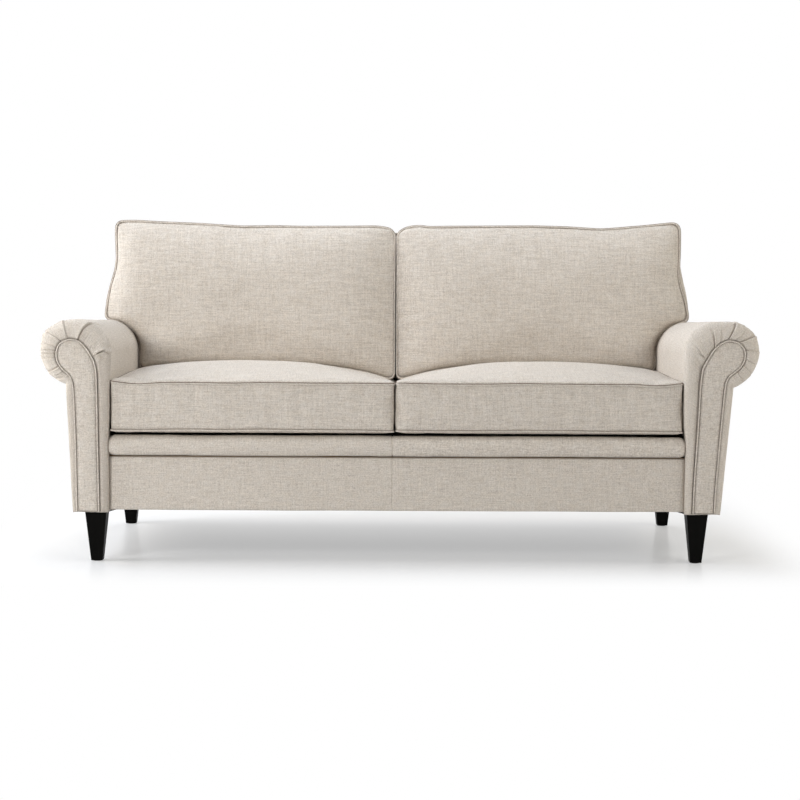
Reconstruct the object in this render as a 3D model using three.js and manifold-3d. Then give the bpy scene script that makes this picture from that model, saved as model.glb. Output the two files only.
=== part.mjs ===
// An english roll arm sofa: two loose seat cushions, two loose T-shaped back cushions, rolled arms with
// keyhole facings, a nosed seat edge and tapered legs, upholstered over a hardwood frame with sinuous
// springs. Millimetres. +X is to the right seen from the front, -Y the front, +Z up.
// The origin is on the floor, under the middle of the sofa.
import * as THREE from 'three';
import { mergeVertices } from 'three/addons/utils/BufferGeometryUtils.js';
import Module from 'manifold-3d';

const wasm = await Module();
wasm.setup();

const degree = Math.PI / 180;

// Overall stance
const overallDepth = 880;
const seatWidth = 1496; // between the arms
const armHeight = 640; // at the front
const legHeight = 133; // with its glide
const contact = 0.3; // between pieces that touch
const overrun = 60; // how far a cutting solid passes what it cuts
const seatPitch = Math.tan(0.6 * degree); // down to the rear
const armPitch = Math.tan(2.8 * degree);
const backRecline = Math.tan(9.6 * degree);

// Legs
const legTopWidth = 56;
const legFootWidth = 30;
const legInset = 42; // from the arm's inner face
const legSetIn = 19; // from the timber's front plane
const glideRadius = 11;
const glideHeight = 2;
const boltRadius = 4;
const boltInLeg = 58;
const boltInBlock = 50;

// Arms, as a section seen from the front
const armFootWidth = 99;
const armRollRadius = 86;
const armTopFlat = 22; // between the roll and the inner quarter round
const armRollEnd = -78 * degree; // where the roll turns in under itself
const armPad = 16;
const armPadLift = 4.5; // above the front rail
const armFrontRound = 22; // depth of the rounded front edge
const armPanelThickness = 5;
const armRearWall = 12;
const facingProud = 4;
const facingFootLift = 4;
const facingInnerMargin = 33;
const facingOuterMargin = 8;
const facingNeckMargin = 24;
const facingNeckDrop = 88; // below the roll's centre
const facingHeadInset = 14;
const facingHeadDrop = 16;
const facingHeadMargin = 35;

// Timber
const frontPadding = 26; // from the front plane to the timber
const railThickness = 30;
const frontRailLift = 6; // above the other timber's underside
const frontRailHeight = 140.5;
const sideRailThickness = 26;
const sideRailHeight = 100;
const centreRailWidth = 40;
const centreRailHeight = 80;
const blockDepth = 60;
const blockHeight = 60;
const blockOuterClearance = 17.7; // to the outer arm panel
const postOuterClearance = 4;
const postHeadClearance = 12;
const armRearPostSetIn = 18; // in front of the back
const armRearPostDepth = 36;
const armTopRailWidth = 82;
const armTopRailRise = 15; // above the roll's centre
const armTopRailThickness = 26;
const backPostWidth = 48;
const backTopRailHeight = 50;
const backLowerRailLift = 61; // above the rear rail
const backLowerRailHeight = 60;

// Springs and webbing
const springWire = 4;
const springWave = 25; // half the width of the wire's waves
const springArch = 20;
const springSetIn = 4; // the spring's ends behind the deck's front edge
const webbingThickness = 1.6;
const webbingStrap = 50;

// Seat
const bandThickness = 8;
const nosingOverhang = 16; // in front of the timber
const nosingSeat = 17; // on the rail's top
const nosingHeight = 54.2;
const nosingEndRound = 14;
const deckThickness = 34.9;
const dustCoverThickness = 1.5;
const dustCoverInset = 6;
const seatCushionThickness = 127;
const seatCushionCrown = 43;
const seatCushionSetBack = 2; // behind the nosing's front
const cushionGap = 3;
const cushionSideGap = 1.5;
const seatCushionCorner = 26;
const seatCushionDrawIn = 7;
const seatCushionEase = 9; // rounding of the edge beside the welts
const cushionStep = 76; // between points along a cushion's straight edges

// Back
const backRise = 225; // above the arms
const backThickness = 62;
const insideBackPad = 10;
const insideBackLift = 14; // above the rear rail, for the springs to pass
const outsideBackPanel = 5;
const backBorder = 12;
const backCushionDepth = 179.9; // from its front welt to the inside back
const backCushionBoxing = 140;
const backCushionCrown = 45;
const backCushionEar = 98; // over the arm
const backCushionTopTaper = 27; // how much less it reaches out at the top
const backCushionRise = 292; // outer top corner above the arm
const backCushionTopSag = 20;
const backCushionInnerSag = 24;
const backCushionCorner = 24;
const backCushionDrawIn = 3;

// Counts, and shares chosen by hand
const legSides = 4;
const boltSides = 12;
const glideSides = 16;
const arcSteps = 12;
const innerArcSteps = 6;
const cornerSteps = 3;
const frontRoundSteps = 4;
const springRows = 8;
const springWaves = 8;
const springStepsPerWave = 6;
const webbingColumns = 8;
const webbingRows = 4;
const rollRoundShare = 1.3;
const innerRoundShare = 0.55;
const outerRoundShare = 0.3;
const seatPeakShare = 0.458;
const seatCrownScaleShares = [0.94, 0.82, 0.64, 0.42, 0.2];
const backCrownScaleShares = [0.95, 0.85, 0.7, 0.5, 0.26];
const frontCrownPowerShare = 2.2;
const rearCrownPowerShare = 1.25;
const acrossCrownPowerShare = 2.6;
const backCrownPowerShare = 2.6;
const backEdgePowerShare = 7;
const backCushionTopShares = [0.2, 0.5, 0.8];
const backCushionCentreShare = 0.55;
const nosingEndShare = 0.8;

// Across
const armInner = seatWidth / 2;
const armOuterFoot = armInner + armFootWidth;
const armRollX = armInner + armRollRadius + armTopFlat;
const armTopMiddle = armRollX - armTopFlat / 2;
const armRollZ = armHeight - armRollRadius;
const legX = armInner + legInset;
const railHalf = armInner + armPad; // half the length of the rails that run across
const blockInner = railHalf + contact;
const blockOuter = armOuterFoot - armPanelThickness - blockOuterClearance;
const postOuter = armOuterFoot - armPanelThickness - postOuterClearance;
const backHalf = blockOuter + 2 * contact + backBorder;
const backPostOuter = blockInner + backPostWidth;

// Front to back
const front = -overallDepth / 2;
const armFront = front + facingProud;
const armBack = overallDepth / 2;
const timberFront = front + frontPadding;
const paddingBack = timberFront - contact;
const railInnerEdge = timberFront + railThickness;
const blockBack = timberFront + blockDepth;
const nosingFront = timberFront - nosingOverhang;
const nosingBack = timberFront + nosingSeat;
const seatCushionFront = nosingFront + seatCushionSetBack;
const backTop = armHeight + backRise;

// The inside back is a plane: this is its place at a height
const insideBackY = (z) => overallDepth / 2 - backThickness - (backTop - z) * backRecline;
const timberD0 = insideBackPad + webbingThickness + 2 * contact;
const timberD1 = backThickness - outsideBackPanel - contact;

// Up
const frameBottom = legHeight;
const frontRailBottom = frameBottom + frontRailLift;
const frontRailTop = frontRailBottom + frontRailHeight;
const springRise = springWire * Math.SQRT1_2;
const springBase = frontRailTop + (railInnerEdge - front) * seatPitch + springRise + contact;
const deckBottom = springBase + springArch + springRise + contact;
const deckTop = deckBottom + deckThickness;
// The rear rail's top is the pitched line under the spring's end, which lies at the rail's rear face
const springLineAtFront = springBase - springRise - contact;
const rearRailTop = (springLineAtFront - (insideBackY(0) + timberD1 - springSetIn - front) * seatPitch)
  / (1 + backRecline * seatPitch);

const finish = (colour, roughness, metalness = 0) => ({ color: colour, roughness, metalness });
const finishes = {
  linen: finish(0xc9bfb3, 0.9),
  lining: finish(0x191817, 0.95),
  ebonised: finish(0x12110f, 0.45),
  hardwood: finish(0xb58b5a, 0.7),
  steel: finish(0x9a9c9e, 0.4, 1),
  glide: finish(0x2a2a2a, 0.6),
  webbing: finish(0x8a7350, 0.9),
};

// Frames: the seat's pitch and the back's recline are shears, so flat faces stay flat
const pitch = (slope) => new THREE.Matrix4().set(
  1, 0, 0, 0,
  0, 1, 0, 0,
  0, -slope, 1, slope * front,
  0, 0, 0, 1,
);
const seatPitched = pitch(seatPitch);
const armPitched = pitch(armPitch);
const reclined = new THREE.Matrix4().set(
  1, 0, 0, 0,
  0, 1, backRecline, insideBackY(0),
  0, 0, 1, 0,
  0, 0, 0, 1,
);

// Shape tools
function bare(geometry) {
  geometry.deleteAttribute('normal');
  geometry.deleteAttribute('uv');
  return mergeVertices(geometry);
}

function signedVolume(geometry) {
  const place = geometry.attributes.position;
  const corners = [new THREE.Vector3(), new THREE.Vector3(), new THREE.Vector3()];
  let sum = 0;
  for (let i = 0; i < geometry.index.count; i += 3) {
    corners.forEach((corner, k) => corner.fromBufferAttribute(place, geometry.index.getX(i + k)));
    sum += corners[0].dot(corners[1].clone().cross(corners[2]));
  }
  return sum;
}

function facingOut(geometry) {
  if (signedVolume(geometry) < 0) {
    const { array } = geometry.index;
    for (let i = 0; i < array.length; i += 3) [array[i], array[i + 1]] = [array[i + 1], array[i]];
  }
  return geometry;
}

function mirrored(geometry) {
  return facingOut(geometry.clone().applyMatrix4(new THREE.Matrix4().makeScale(-1, 1, 1)));
}

function block(x0, x1, y0, y1, z0, z1) {
  const box = bare(new THREE.BoxGeometry(1, 1, 1));
  box.applyMatrix4(new THREE.Matrix4().makeScale(x1 - x0, y1 - y0, z1 - z0));
  return box.translate((x0 + x1) / 2, (y0 + y1) / 2, (z0 + z1) / 2);
}

function upright(topRadius, footRadius, z0, z1, sides, turn = 0) {
  const post = bare(new THREE.CylinderGeometry(topRadius, footRadius, z1 - z0, sides));
  return post.rotateX(Math.PI / 2).rotateZ(turn).translate(0, 0, (z0 + z1) / 2);
}

// A shape seen from the front, run from one depth to another
function runBack(shape, y0, y1, curveSegments = arcSteps / 2) {
  const run = new THREE.ExtrudeGeometry(shape, { depth: y1 - y0, bevelEnabled: false, curveSegments });
  return facingOut(bare(run).rotateX(Math.PI / 2).translate(0, y1, 0));
}

function polygon(points) {
  return new THREE.Shape(points.map(([x, y]) => new THREE.Vector2(x, y)));
}

// A skin through rings of equal length. An end is a flat cap, seen along one axis, or a single point.
function loft(rings, flatten, firstPoint = null, lastPoint = null) {
  const count = rings[0].length;
  const points = rings.flat();
  const faces = [];
  for (let r = 0; r + 1 < rings.length; r += 1) {
    for (let i = 0; i < count; i += 1) {
      const a = r * count + i;
      const b = r * count + ((i + 1) % count);
      faces.push(a, b, b + count, a, b + count, a + count);
    }
  }
  const last = (rings.length - 1) * count;
  const close = (start, tip, flip) => {
    const turn = (a, b, c) => (flip ? faces.push(a, c, b) : faces.push(a, b, c));
    if (tip) {
      points.push(tip);
      for (let i = 0; i < count; i += 1) turn(start + ((i + 1) % count), start + i, points.length - 1);
      return;
    }
    const outline = rings[start / count].map(flatten);
    const forward = !THREE.ShapeUtils.isClockWise(outline);
    for (const [a, b, c] of THREE.ShapeUtils.triangulateShape(outline, [])) {
      if (forward) turn(start + a, start + c, start + b);
      else turn(start + a, start + b, start + c);
    }
  };
  close(0, firstPoint, false);
  close(last, lastPoint, true);
  const geometry = new THREE.BufferGeometry();
  const places = points.flatMap((p) => [p.x, p.y, p.z]);
  geometry.setAttribute('position', new THREE.Float32BufferAttribute(places, 3));
  geometry.setIndex(faces);
  return facingOut(geometry);
}

// Joins and cuts
function asSolid(geometry) {
  return new wasm.Manifold(new wasm.Mesh({
    numProp: 3,
    vertProperties: new Float32Array(geometry.attributes.position.array),
    triVerts: new Uint32Array(geometry.index.array),
  }));
}

function asGeometry(solid) {
  const { vertProperties, triVerts } = solid.getMesh();
  const geometry = new THREE.BufferGeometry();
  geometry.setAttribute('position', new THREE.BufferAttribute(vertProperties, 3));
  geometry.setIndex(new THREE.BufferAttribute(triVerts, 1));
  return geometry;
}

function cut(geometry, ...cutters) {
  return asGeometry(cutters.reduce((solid, cutter) => solid.subtract(asSolid(cutter)), asSolid(geometry)));
}

// Assembly
const sofa = new THREE.Group();
sofa.name = 'english_roll_arm_sofa';

function add(name, geometry, look) {
  const mesh = new THREE.Mesh(geometry, new THREE.MeshStandardMaterial(look));
  mesh.name = name;
  sofa.add(mesh);
  return mesh;
}

function addPair(name, geometry, look) {
  add(`${name}_right`, geometry, look);
  add(`${name}_left`, mirrored(geometry), look);
}

// The arm's section. Each point carries its outward normal and its share of the rounded front edge.
function armOutline() {
  const points = [];
  const innerX = armInner + armRollRadius;
  const push = (x, z, nx, nz, share) => points.push({ x, z, nx, nz, share });
  const arc = (cx, from, to, steps) => {
    for (let i = 0; i <= steps; i += 1) {
      const angle = from + ((to - from) * i) / steps;
      const [c, s] = [Math.cos(angle), Math.sin(angle)];
      push(cx + armRollRadius * c, armRollZ + armRollRadius * s, c, s, rollRoundShare);
    }
  };
  push(armInner, frameBottom - overrun, -1, 0, innerRoundShare);
  arc(innerX, Math.PI, Math.PI / 2, innerArcSteps);
  arc(armRollX, Math.PI / 2, armRollEnd, arcSteps);
  push(armOuterSide(frameBottom - overrun), frameBottom - overrun, 1, 0, outerRoundShare);
  return points;
}

function armOuterSide(z) {
  const topX = armRollX + armRollRadius * Math.cos(armRollEnd);
  const topZ = armRollZ + armRollRadius * Math.sin(armRollEnd);
  return armOuterFoot + ((topX - armOuterFoot) * (z - frameBottom)) / (topZ - frameBottom);
}

const facingHead = {
  x: armRollX - facingHeadInset,
  z: armRollZ - facingHeadDrop,
  radius: armRollRadius - facingHeadMargin,
  start: -50 * degree,
};

function facingShape(grow) {
  const foot = frameBottom + facingFootLift;
  const neckZ = armRollZ - facingNeckDrop;
  const neckX = armOuterSide(neckZ) - facingNeckMargin;
  const radius = facingHead.radius + grow;
  const shape = new THREE.Shape();
  shape.moveTo(armInner + facingInnerMargin - grow, foot - grow);
  shape.lineTo(armOuterFoot - facingOuterMargin + grow, foot - grow);
  shape.lineTo(neckX + grow, neckZ);
  shape.quadraticCurveTo(
    neckX + grow,
    facingHead.z - facingHead.radius,
    facingHead.x + radius * Math.cos(facingHead.start),
    facingHead.z + radius * Math.sin(facingHead.start),
  );
  shape.absarc(facingHead.x, facingHead.z, radius, facingHead.start, Math.PI, false);
  return shape;
}

function behindInsideBack(gap) {
  const half = backHalf + overallDepth;
  return block(-half, half, -gap, overallDepth, -backTop, 2 * backTop).applyMatrix4(reclined);
}

function belowFrame(y0) {
  return block(armInner - overrun, overallDepth * 2, y0, overallDepth, -backTop, frameBottom);
}

function armCover() {
  const outline = armOutline();
  const rings = [];
  for (let i = 0; i <= frontRoundSteps; i += 1) {
    const angle = (i / frontRoundSteps) * (Math.PI / 2);
    const inset = armFrontRound * (1 - Math.sin(angle));
    const y = armFront + armFrontRound * (1 - Math.cos(angle));
    rings.push(outline.map((p) => {
      const pull = inset * p.share;
      return new THREE.Vector3(p.x - p.nx * pull, y, p.z - p.nz * pull);
    }));
  }
  rings.push(outline.map((p) => new THREE.Vector3(p.x, armBack, p.z)));
  const skin = loft(rings, (p) => new THREE.Vector2(p.x, p.z)).applyMatrix4(armPitched);

  const rollInner = armRollRadius - armPad;
  const lipZ = armRollZ + armRollRadius * Math.sin(armRollEnd);
  const lipX = armRollX + armRollRadius * Math.cos(armRollEnd);
  const beyond = armRollX + armRollRadius + overrun;
  const lower = polygon([
    [armInner - overrun, frameBottom - overrun - overrun],
    [beyond, frameBottom - overrun - overrun],
    [beyond, lipZ - contact],
    [lipX, lipZ - contact],
    [armInner + armPad, lipZ - contact],
    [armInner + armPad, frontRailTop + armPadLift],
    [armInner - overrun, frontRailTop + armPadLift],
  ]);
  const upper = new THREE.Shape();
  upper.moveTo(armInner + armPad, lipZ - 2 * contact);
  upper.lineTo(lipX, lipZ - 2 * contact);
  upper.lineTo(armRollX + rollInner * Math.cos(armRollEnd), armRollZ + rollInner * Math.sin(armRollEnd));
  upper.absarc(armRollX, armRollZ, rollInner, armRollEnd, Math.PI / 2, false);
  upper.absarc(armInner + armRollRadius, armRollZ, rollInner, Math.PI / 2, Math.PI, false);
  const lowerRun = runBack(lower, paddingBack, armBack + overrun).applyMatrix4(armPitched);
  const upperRun = cut(
    runBack(upper, paddingBack, armBack).applyMatrix4(armPitched),
    behindInsideBack(armRearWall + contact),
  );
  const keyhole = runBack(facingShape(contact), armFront - overrun, paddingBack + contact);
  return cut(skin, behindInsideBack(contact), belowFrame(armFront - overrun), lowerRun, upperRun, keyhole);
}

function armOuterPanel() {
  const topZ = armRollZ + armRollRadius * Math.sin(armRollEnd) - 2 * contact;
  const bottomZ = frameBottom - overrun;
  const section = polygon([
    [armOuterSide(bottomZ) - armPanelThickness, bottomZ],
    [armOuterSide(bottomZ), bottomZ],
    [armOuterSide(topZ), topZ],
    [armOuterSide(topZ) - armPanelThickness, topZ],
  ]);
  const run = runBack(section, timberFront, armBack).applyMatrix4(armPitched);
  return cut(run, behindInsideBack(contact), belowFrame(timberFront - overrun));
}

function armFacing() {
  return runBack(facingShape(0), front, paddingBack);
}

function addArms() {
  addPair('arm_cover', armCover(), finishes.linen);
  addPair('arm_outer_panel', armOuterPanel(), finishes.linen);
  addPair('arm_facing', armFacing(), finishes.linen);
}

// Legs, each screwed to a corner block with a hanger bolt
const rearLegY = insideBackY(frameBottom) + backThickness / 2 - outsideBackPanel / 2;
const legPlaces = { front: timberFront + legSetIn, rear: rearLegY };
const boltTop = frameBottom + boltInBlock;
const boreRadius = boltRadius + contact;
const boreFoot = frameBottom - boltInLeg - contact;
const bore = upright(boreRadius, boreRadius, boreFoot, boltTop + contact, boltSides);

function addLegs() {
  const topRadius = legTopWidth * Math.SQRT1_2;
  const footRadius = legFootWidth * Math.SQRT1_2;
  const leg = upright(topRadius, footRadius, glideHeight, frameBottom, legSides, Math.PI / legSides);
  const legBored = cut(leg, bore);
  const glide = upright(glideRadius, glideRadius, 0, glideHeight, glideSides);
  const bolt = upright(boltRadius, boltRadius, frameBottom - boltInLeg, boltTop, boltSides);
  for (const [end, y] of Object.entries(legPlaces)) {
    for (const [side, x] of [['right', legX], ['left', -legX]]) {
      add(`leg_${end}_${side}`, legBored, finishes.ebonised).position.set(x, y, 0);
      add(`glide_${end}_${side}`, glide, finishes.glide).position.set(x, y, 0);
      add(`hanger_bolt_${end}_${side}`, bolt, finishes.steel).position.set(x, y, 0);
    }
  }
}

// Timber of the seat
function inBack(x0, x1, d0, d1, z0, z1) {
  return block(x0, x1, d0, d1, z0, z1).applyMatrix4(reclined);
}

function addSeatFrame() {
  const wood = finishes.hardwood;
  const blockTop = frameBottom + blockHeight;
  const frontBlock = block(blockInner, blockOuter, timberFront, blockBack, frameBottom, blockTop);
  const rearBlock = inBack(blockInner, blockOuter, contact, timberD1, frameBottom, blockTop);
  addPair('corner_block_front', cut(frontBlock, bore.clone().translate(legX, legPlaces.front, 0)), wood);
  addPair('corner_block_rear', cut(rearBlock, bore.clone().translate(legX, legPlaces.rear, 0)), wood);
  const frontRail = block(-railHalf, railHalf, timberFront, railInnerEdge, frontRailBottom, frontRailTop);
  add('front_rail', frontRail, wood);
  add('rear_rail', inBack(-railHalf, railHalf, timberD0, timberD1, frameBottom, rearRailTop), wood);
  const behind = behindInsideBack(0);
  const sideRailTop = frameBottom + sideRailHeight;
  const sideRailOuter = blockInner + sideRailThickness;
  const sideRail = block(blockInner, sideRailOuter, blockBack + contact, armBack, frameBottom, sideRailTop);
  addPair('side_rail', cut(sideRail, behind), wood);
  const centreRail = block(-centreRailWidth / 2, centreRailWidth / 2, railInnerEdge + contact, armBack,
    frontRailBottom, frontRailBottom + centreRailHeight);
  add('centre_rail', cut(centreRail, behindInsideBack(contact - timberD0)), wood);
}

// Timber of the arms
function addArmFrame() {
  const wood = finishes.hardwood;
  const postFoot = frameBottom + blockHeight + contact;
  const shaft = block(blockInner, postOuter, timberFront, railInnerEdge, postFoot, armRollZ);
  const headShape = new THREE.Shape();
  const headRadius = armRollRadius - armPad - postHeadClearance;
  headShape.absarc(armTopMiddle, armRollZ, headRadius, 0, 2 * Math.PI, false);
  const head = runBack(headShape, timberFront, railInnerEdge);
  addPair('arm_front_post', asGeometry(asSolid(shaft).add(asSolid(head))), wood);

  const railBottom = armRollZ + armTopRailRise;
  const railInner = armTopMiddle - armTopRailWidth / 2;
  const rearPostBack = insideBackY(frameBottom) - armRearPostSetIn;
  const rail = block(railInner, railInner + armTopRailWidth, railInnerEdge + contact, rearPostBack,
    railBottom, railBottom + armTopRailThickness);
  addPair('arm_top_rail', rail.applyMatrix4(armPitched), wood);
  const rearPostInner = blockInner + sideRailThickness + contact;
  const rearPostFront = rearPostBack - armRearPostDepth;
  const rearPost = block(rearPostInner, postOuter, rearPostFront, rearPostBack, frameBottom, railBottom);
  const aboveFoot = railBottom - contact;
  const aboveRail = block(0, overallDepth * 2, -overallDepth, overallDepth, aboveFoot, backTop * 2);
  addPair('arm_rear_post', cut(rearPost, aboveRail.applyMatrix4(armPitched)), wood);
}

// Timber of the back
function addBackFrame() {
  const wood = finishes.hardwood;
  const postTop = backTop - backBorder - contact - backTopRailHeight;
  const postFoot = frameBottom + blockHeight + contact;
  const lowerBottom = rearRailTop + backLowerRailLift;
  const lowerTop = lowerBottom + backLowerRailHeight;
  const topRailTop = postTop + backTopRailHeight;
  const timber = (x0, x1, z0, z1) => inBack(x0, x1, timberD0, timberD1, z0, z1);
  addPair('back_post', timber(blockInner, backPostOuter, postFoot, postTop), wood);
  add('back_lower_rail', timber(-railHalf, railHalf, lowerBottom, lowerTop), wood);
  add('back_centre_post', timber(-backPostWidth / 2, backPostWidth / 2, lowerTop + contact, postTop), wood);
  add('back_top_rail', timber(-backPostOuter, backPostOuter, postTop + contact, topRailTop), wood);
}

// Springs: a flat wavy wire from the front rail's top to the rear rail's, arched under the deck
class SpringLine extends THREE.Curve {
  constructor(x, start, end) {
    super();
    Object.assign(this, { x, start, end });
  }

  getPoint(t, target = new THREE.Vector3()) {
    const y = this.start + (this.end - this.start) * t;
    const v = springBase + springArch * Math.sin(Math.PI * t);
    const x = this.x + springWave * Math.sin(2 * Math.PI * springWaves * t);
    return target.set(x, y, v - (y - front) * seatPitch);
  }
}

function addSprings() {
  const half = springWire / 2;
  const wire = polygon([[-half, -half], [half, -half], [half, half], [-half, half]]);
  const start = nosingBack + springSetIn;
  const end = insideBackY(rearRailTop) + timberD1 - springSetIn;
  const steps = springWaves * springStepsPerWave;
  for (let i = 0; i < springRows; i += 1) {
    const x = (2 * railHalf * (i + 1 / 2)) / springRows - railHalf;
    const path = new SpringLine(x, start, end);
    const run = new THREE.ExtrudeGeometry(wire, { extrudePath: path, steps, bevelEnabled: false });
    add(`seat_spring_${i + 1}`, facingOut(bare(run)), finishes.steel);
  }
}

function addWebbing() {
  const half = backPostOuter;
  const top = backTop - backBorder - contact;
  const bottom = rearRailTop + backLowerRailLift;
  const d0 = insideBackPad + contact;
  const d1 = d0 + webbingThickness;
  const straps = [];
  for (let i = 0; i <= webbingColumns; i += 1) {
    const x = -half + (i * (2 * half - webbingStrap)) / webbingColumns;
    straps.push(block(x, x + webbingStrap, d0, d1, bottom, top));
  }
  for (let j = 0; j <= webbingRows; j += 1) {
    const z = bottom + (j * (top - bottom - webbingStrap)) / webbingRows;
    straps.push(block(-half, half, d0, d1, z, z + webbingStrap));
  }
  const lattice = asGeometry(straps.map(asSolid).reduce((joined, strap) => joined.add(strap)));
  add('back_webbing', lattice.applyMatrix4(reclined), finishes.webbing);
}

// Covers of the back
function addBackCovers() {
  const cloth = finishes.linen;
  const inner = backHalf - backBorder - contact;
  const under = backTop - backBorder - contact;
  const borderInner = backHalf - backBorder;
  const padFoot = rearRailTop + insideBackLift;
  add('inside_back_pad', inBack(-inner, inner, 0, insideBackPad, padFoot, under), cloth);
  const outsideBack = inBack(-inner, inner, timberD1 + contact, backThickness, frameBottom, under);
  add('outside_back_panel', outsideBack, cloth);
  addPair('back_side_border', inBack(borderInner, backHalf, 0, backThickness, frameBottom, under), cloth);
  const topBorder = inBack(-backHalf, backHalf, 0, backThickness, backTop - backBorder, backTop);
  add('back_top_border', topBorder, cloth);
}

// Covers of the seat's front, the deck and the underside
function addSeatCovers() {
  const cloth = finishes.linen;
  const half = armInner - contact;
  const bandFront = timberFront - bandThickness;
  add('front_band', block(-half, half, bandFront, paddingBack, frontRailBottom, frontRailTop), cloth);

  const depth = nosingBack - nosingFront;
  const high = nosingHeight / 2;
  const centreZ = frontRailTop + contact + high;
  const sectionAt = (x, share) => {
    const ring = [];
    for (let i = 0; i <= arcSteps; i += 1) {
      const angle = Math.PI / 2 + (Math.PI * i) / arcSteps;
      const [y, z] = [depth * share * Math.cos(angle), high * share * Math.sin(angle)];
      ring.push(new THREE.Vector3(x, nosingBack + y, centreZ + z));
    }
    return ring;
  };
  const full = half - nosingEndRound;
  const ends = [[-half, nosingEndShare], [-full, 1], [full, 1], [half, nosingEndShare]];
  const sections = ends.map(([x, share]) => sectionAt(x, share));
  add('front_nosing', loft(sections, (p) => new THREE.Vector2(p.y, p.z)), cloth);

  const deck = block(-half, half, nosingBack + contact, armBack, deckBottom, deckTop);
  add('seat_deck', cut(deck.applyMatrix4(seatPitched), behindInsideBack(contact)), finishes.lining);

  const legClear = legX - legTopWidth / 2 - contact;
  const wide = armOuterFoot - dustCoverInset;
  const frontEdge = timberFront + dustCoverInset;
  const rearEdge = insideBackY(frameBottom) + backThickness - dustCoverInset;
  const frontNotch = legPlaces.front + legTopWidth / 2 + contact;
  const rearNotch = legPlaces.rear - legTopWidth / 2 - contact;
  const quarter = [[legClear, frontEdge], [legClear, frontNotch], [wide, frontNotch], [wide, rearNotch],
    [legClear, rearNotch], [legClear, rearEdge]];
  const plan = polygon([...quarter, ...quarter.map(([x, y]) => [-x, y]).reverse()]);
  const dust = bare(new THREE.ExtrudeGeometry(plan, { depth: dustCoverThickness, bevelEnabled: false }));
  add('dust_cover', dust.translate(0, 0, frameBottom - dustCoverThickness), finishes.lining);
}

// A closed outline with rounded corners and its straight edges split, as { x, y, along } where along is
// 0 at a corner's end and 1 at the middle of an edge
function roundedOutline(corners, radii) {
  const points = [];
  const ends = corners.map((corner, i) => {
    const here = new THREE.Vector2(...corner);
    const before = new THREE.Vector2(...corners[(i + corners.length - 1) % corners.length]);
    const after = new THREE.Vector2(...corners[(i + 1) % corners.length]);
    const reach = (other) => here.clone().add(other.clone().sub(here).setLength(radii[i]));
    return { here, enter: reach(before), leave: reach(after) };
  });
  ends.forEach(({ here, enter, leave }, i) => {
    if (radii[i] > 0) {
      const bend = new THREE.QuadraticBezierCurve(enter, here, leave).getPoints(cornerSteps);
      bend.forEach((p) => points.push({ x: p.x, y: p.y, along: 0 }));
    } else points.push({ x: here.x, y: here.y, along: 0 });
    const next = ends[(i + 1) % ends.length].enter;
    const pieces = Math.max(1, Math.round(leave.distanceTo(next) / cushionStep));
    for (let k = 1; k < pieces; k += 1) {
      const p = leave.clone().lerp(next, k / pieces);
      points.push({ x: p.x, y: p.y, along: Math.sin((Math.PI * k) / pieces) });
    }
  });
  return points;
}

// Seat cushions lie in the pitched frame
const seatCushionBottom = deckTop + contact;
const seatCushionTop = seatCushionBottom + seatCushionThickness;
const seatCushionBack = insideBackY(seatCushionBottom - overallDepth * seatPitch) - contact;
const seatCushionInner = cushionGap / 2;
const seatCushionOuter = armInner - cushionSideGap;

const seatCushionPeakY = THREE.MathUtils.lerp(seatCushionFront, seatCushionBack, seatPeakShare);

function seatCrown(x, y) {
  const middle = (seatCushionInner + seatCushionOuter) / 2;
  const across = Math.abs(x - middle) / (seatCushionOuter - middle);
  const ahead = Math.max(0, (seatCushionPeakY - y) / (seatCushionPeakY - seatCushionFront));
  const behind = Math.max(0, (y - seatCushionPeakY) / (seatCushionBack - seatCushionPeakY));
  const along = 1 - ahead ** frontCrownPowerShare - behind ** rearCrownPowerShare;
  return seatCushionCrown * Math.max(0, along) * Math.max(0, 1 - across ** acrossCrownPowerShare);
}

function seatCushion() {
  const [x0, x1, y0, y1] = [seatCushionInner, seatCushionOuter, seatCushionFront, seatCushionBack];
  const corner = seatCushionCorner;
  const corners = [[x0, y0], [x1, y0], [x1, y1], [x0, y1]];
  const outline = roundedOutline(corners, [corner, corner, corner, corner]);
  const centre = new THREE.Vector2((x0 + x1) / 2, seatCushionPeakY);
  const ring = (height, inset) => outline.map((p) => {
    const pull = inset + seatCushionDrawIn * p.along;
    const x = THREE.MathUtils.clamp(p.x, x0 + pull, x1 - pull);
    const y = THREE.MathUtils.clamp(p.y, y0 + pull, y1 - pull);
    return new THREE.Vector3(x, y, height);
  });
  const edge = ring(seatCushionTop, 0);
  const crowned = (share) => edge.map((p) => {
    const x = centre.x + (p.x - centre.x) * share;
    const y = centre.y + (p.y - centre.y) * share;
    return new THREE.Vector3(x, y, seatCushionTop + seatCrown(x, y));
  });
  const rings = [
    ring(seatCushionBottom, seatCushionEase),
    ring(seatCushionBottom + seatCushionEase, 0),
    ring((seatCushionBottom + seatCushionTop) / 2, seatCushionDrawIn / 2),
    ring(seatCushionTop - seatCushionEase, 0),
    edge,
    ...seatCrownScaleShares.map(crowned),
  ];
  const tip = new THREE.Vector3(centre.x, centre.y, seatCushionTop + seatCrown(centre.x, centre.y));
  return loft(rings, (p) => new THREE.Vector2(p.x, p.y), null, tip).applyMatrix4(seatPitched);
}

// Back cushions: T-shaped, with an ear over the arm, against the inside back
const backCushionFaceZ = seatCushionTop;
const backCushionFaceY = insideBackY(backCushionFaceZ) - backCushionDepth;

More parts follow.
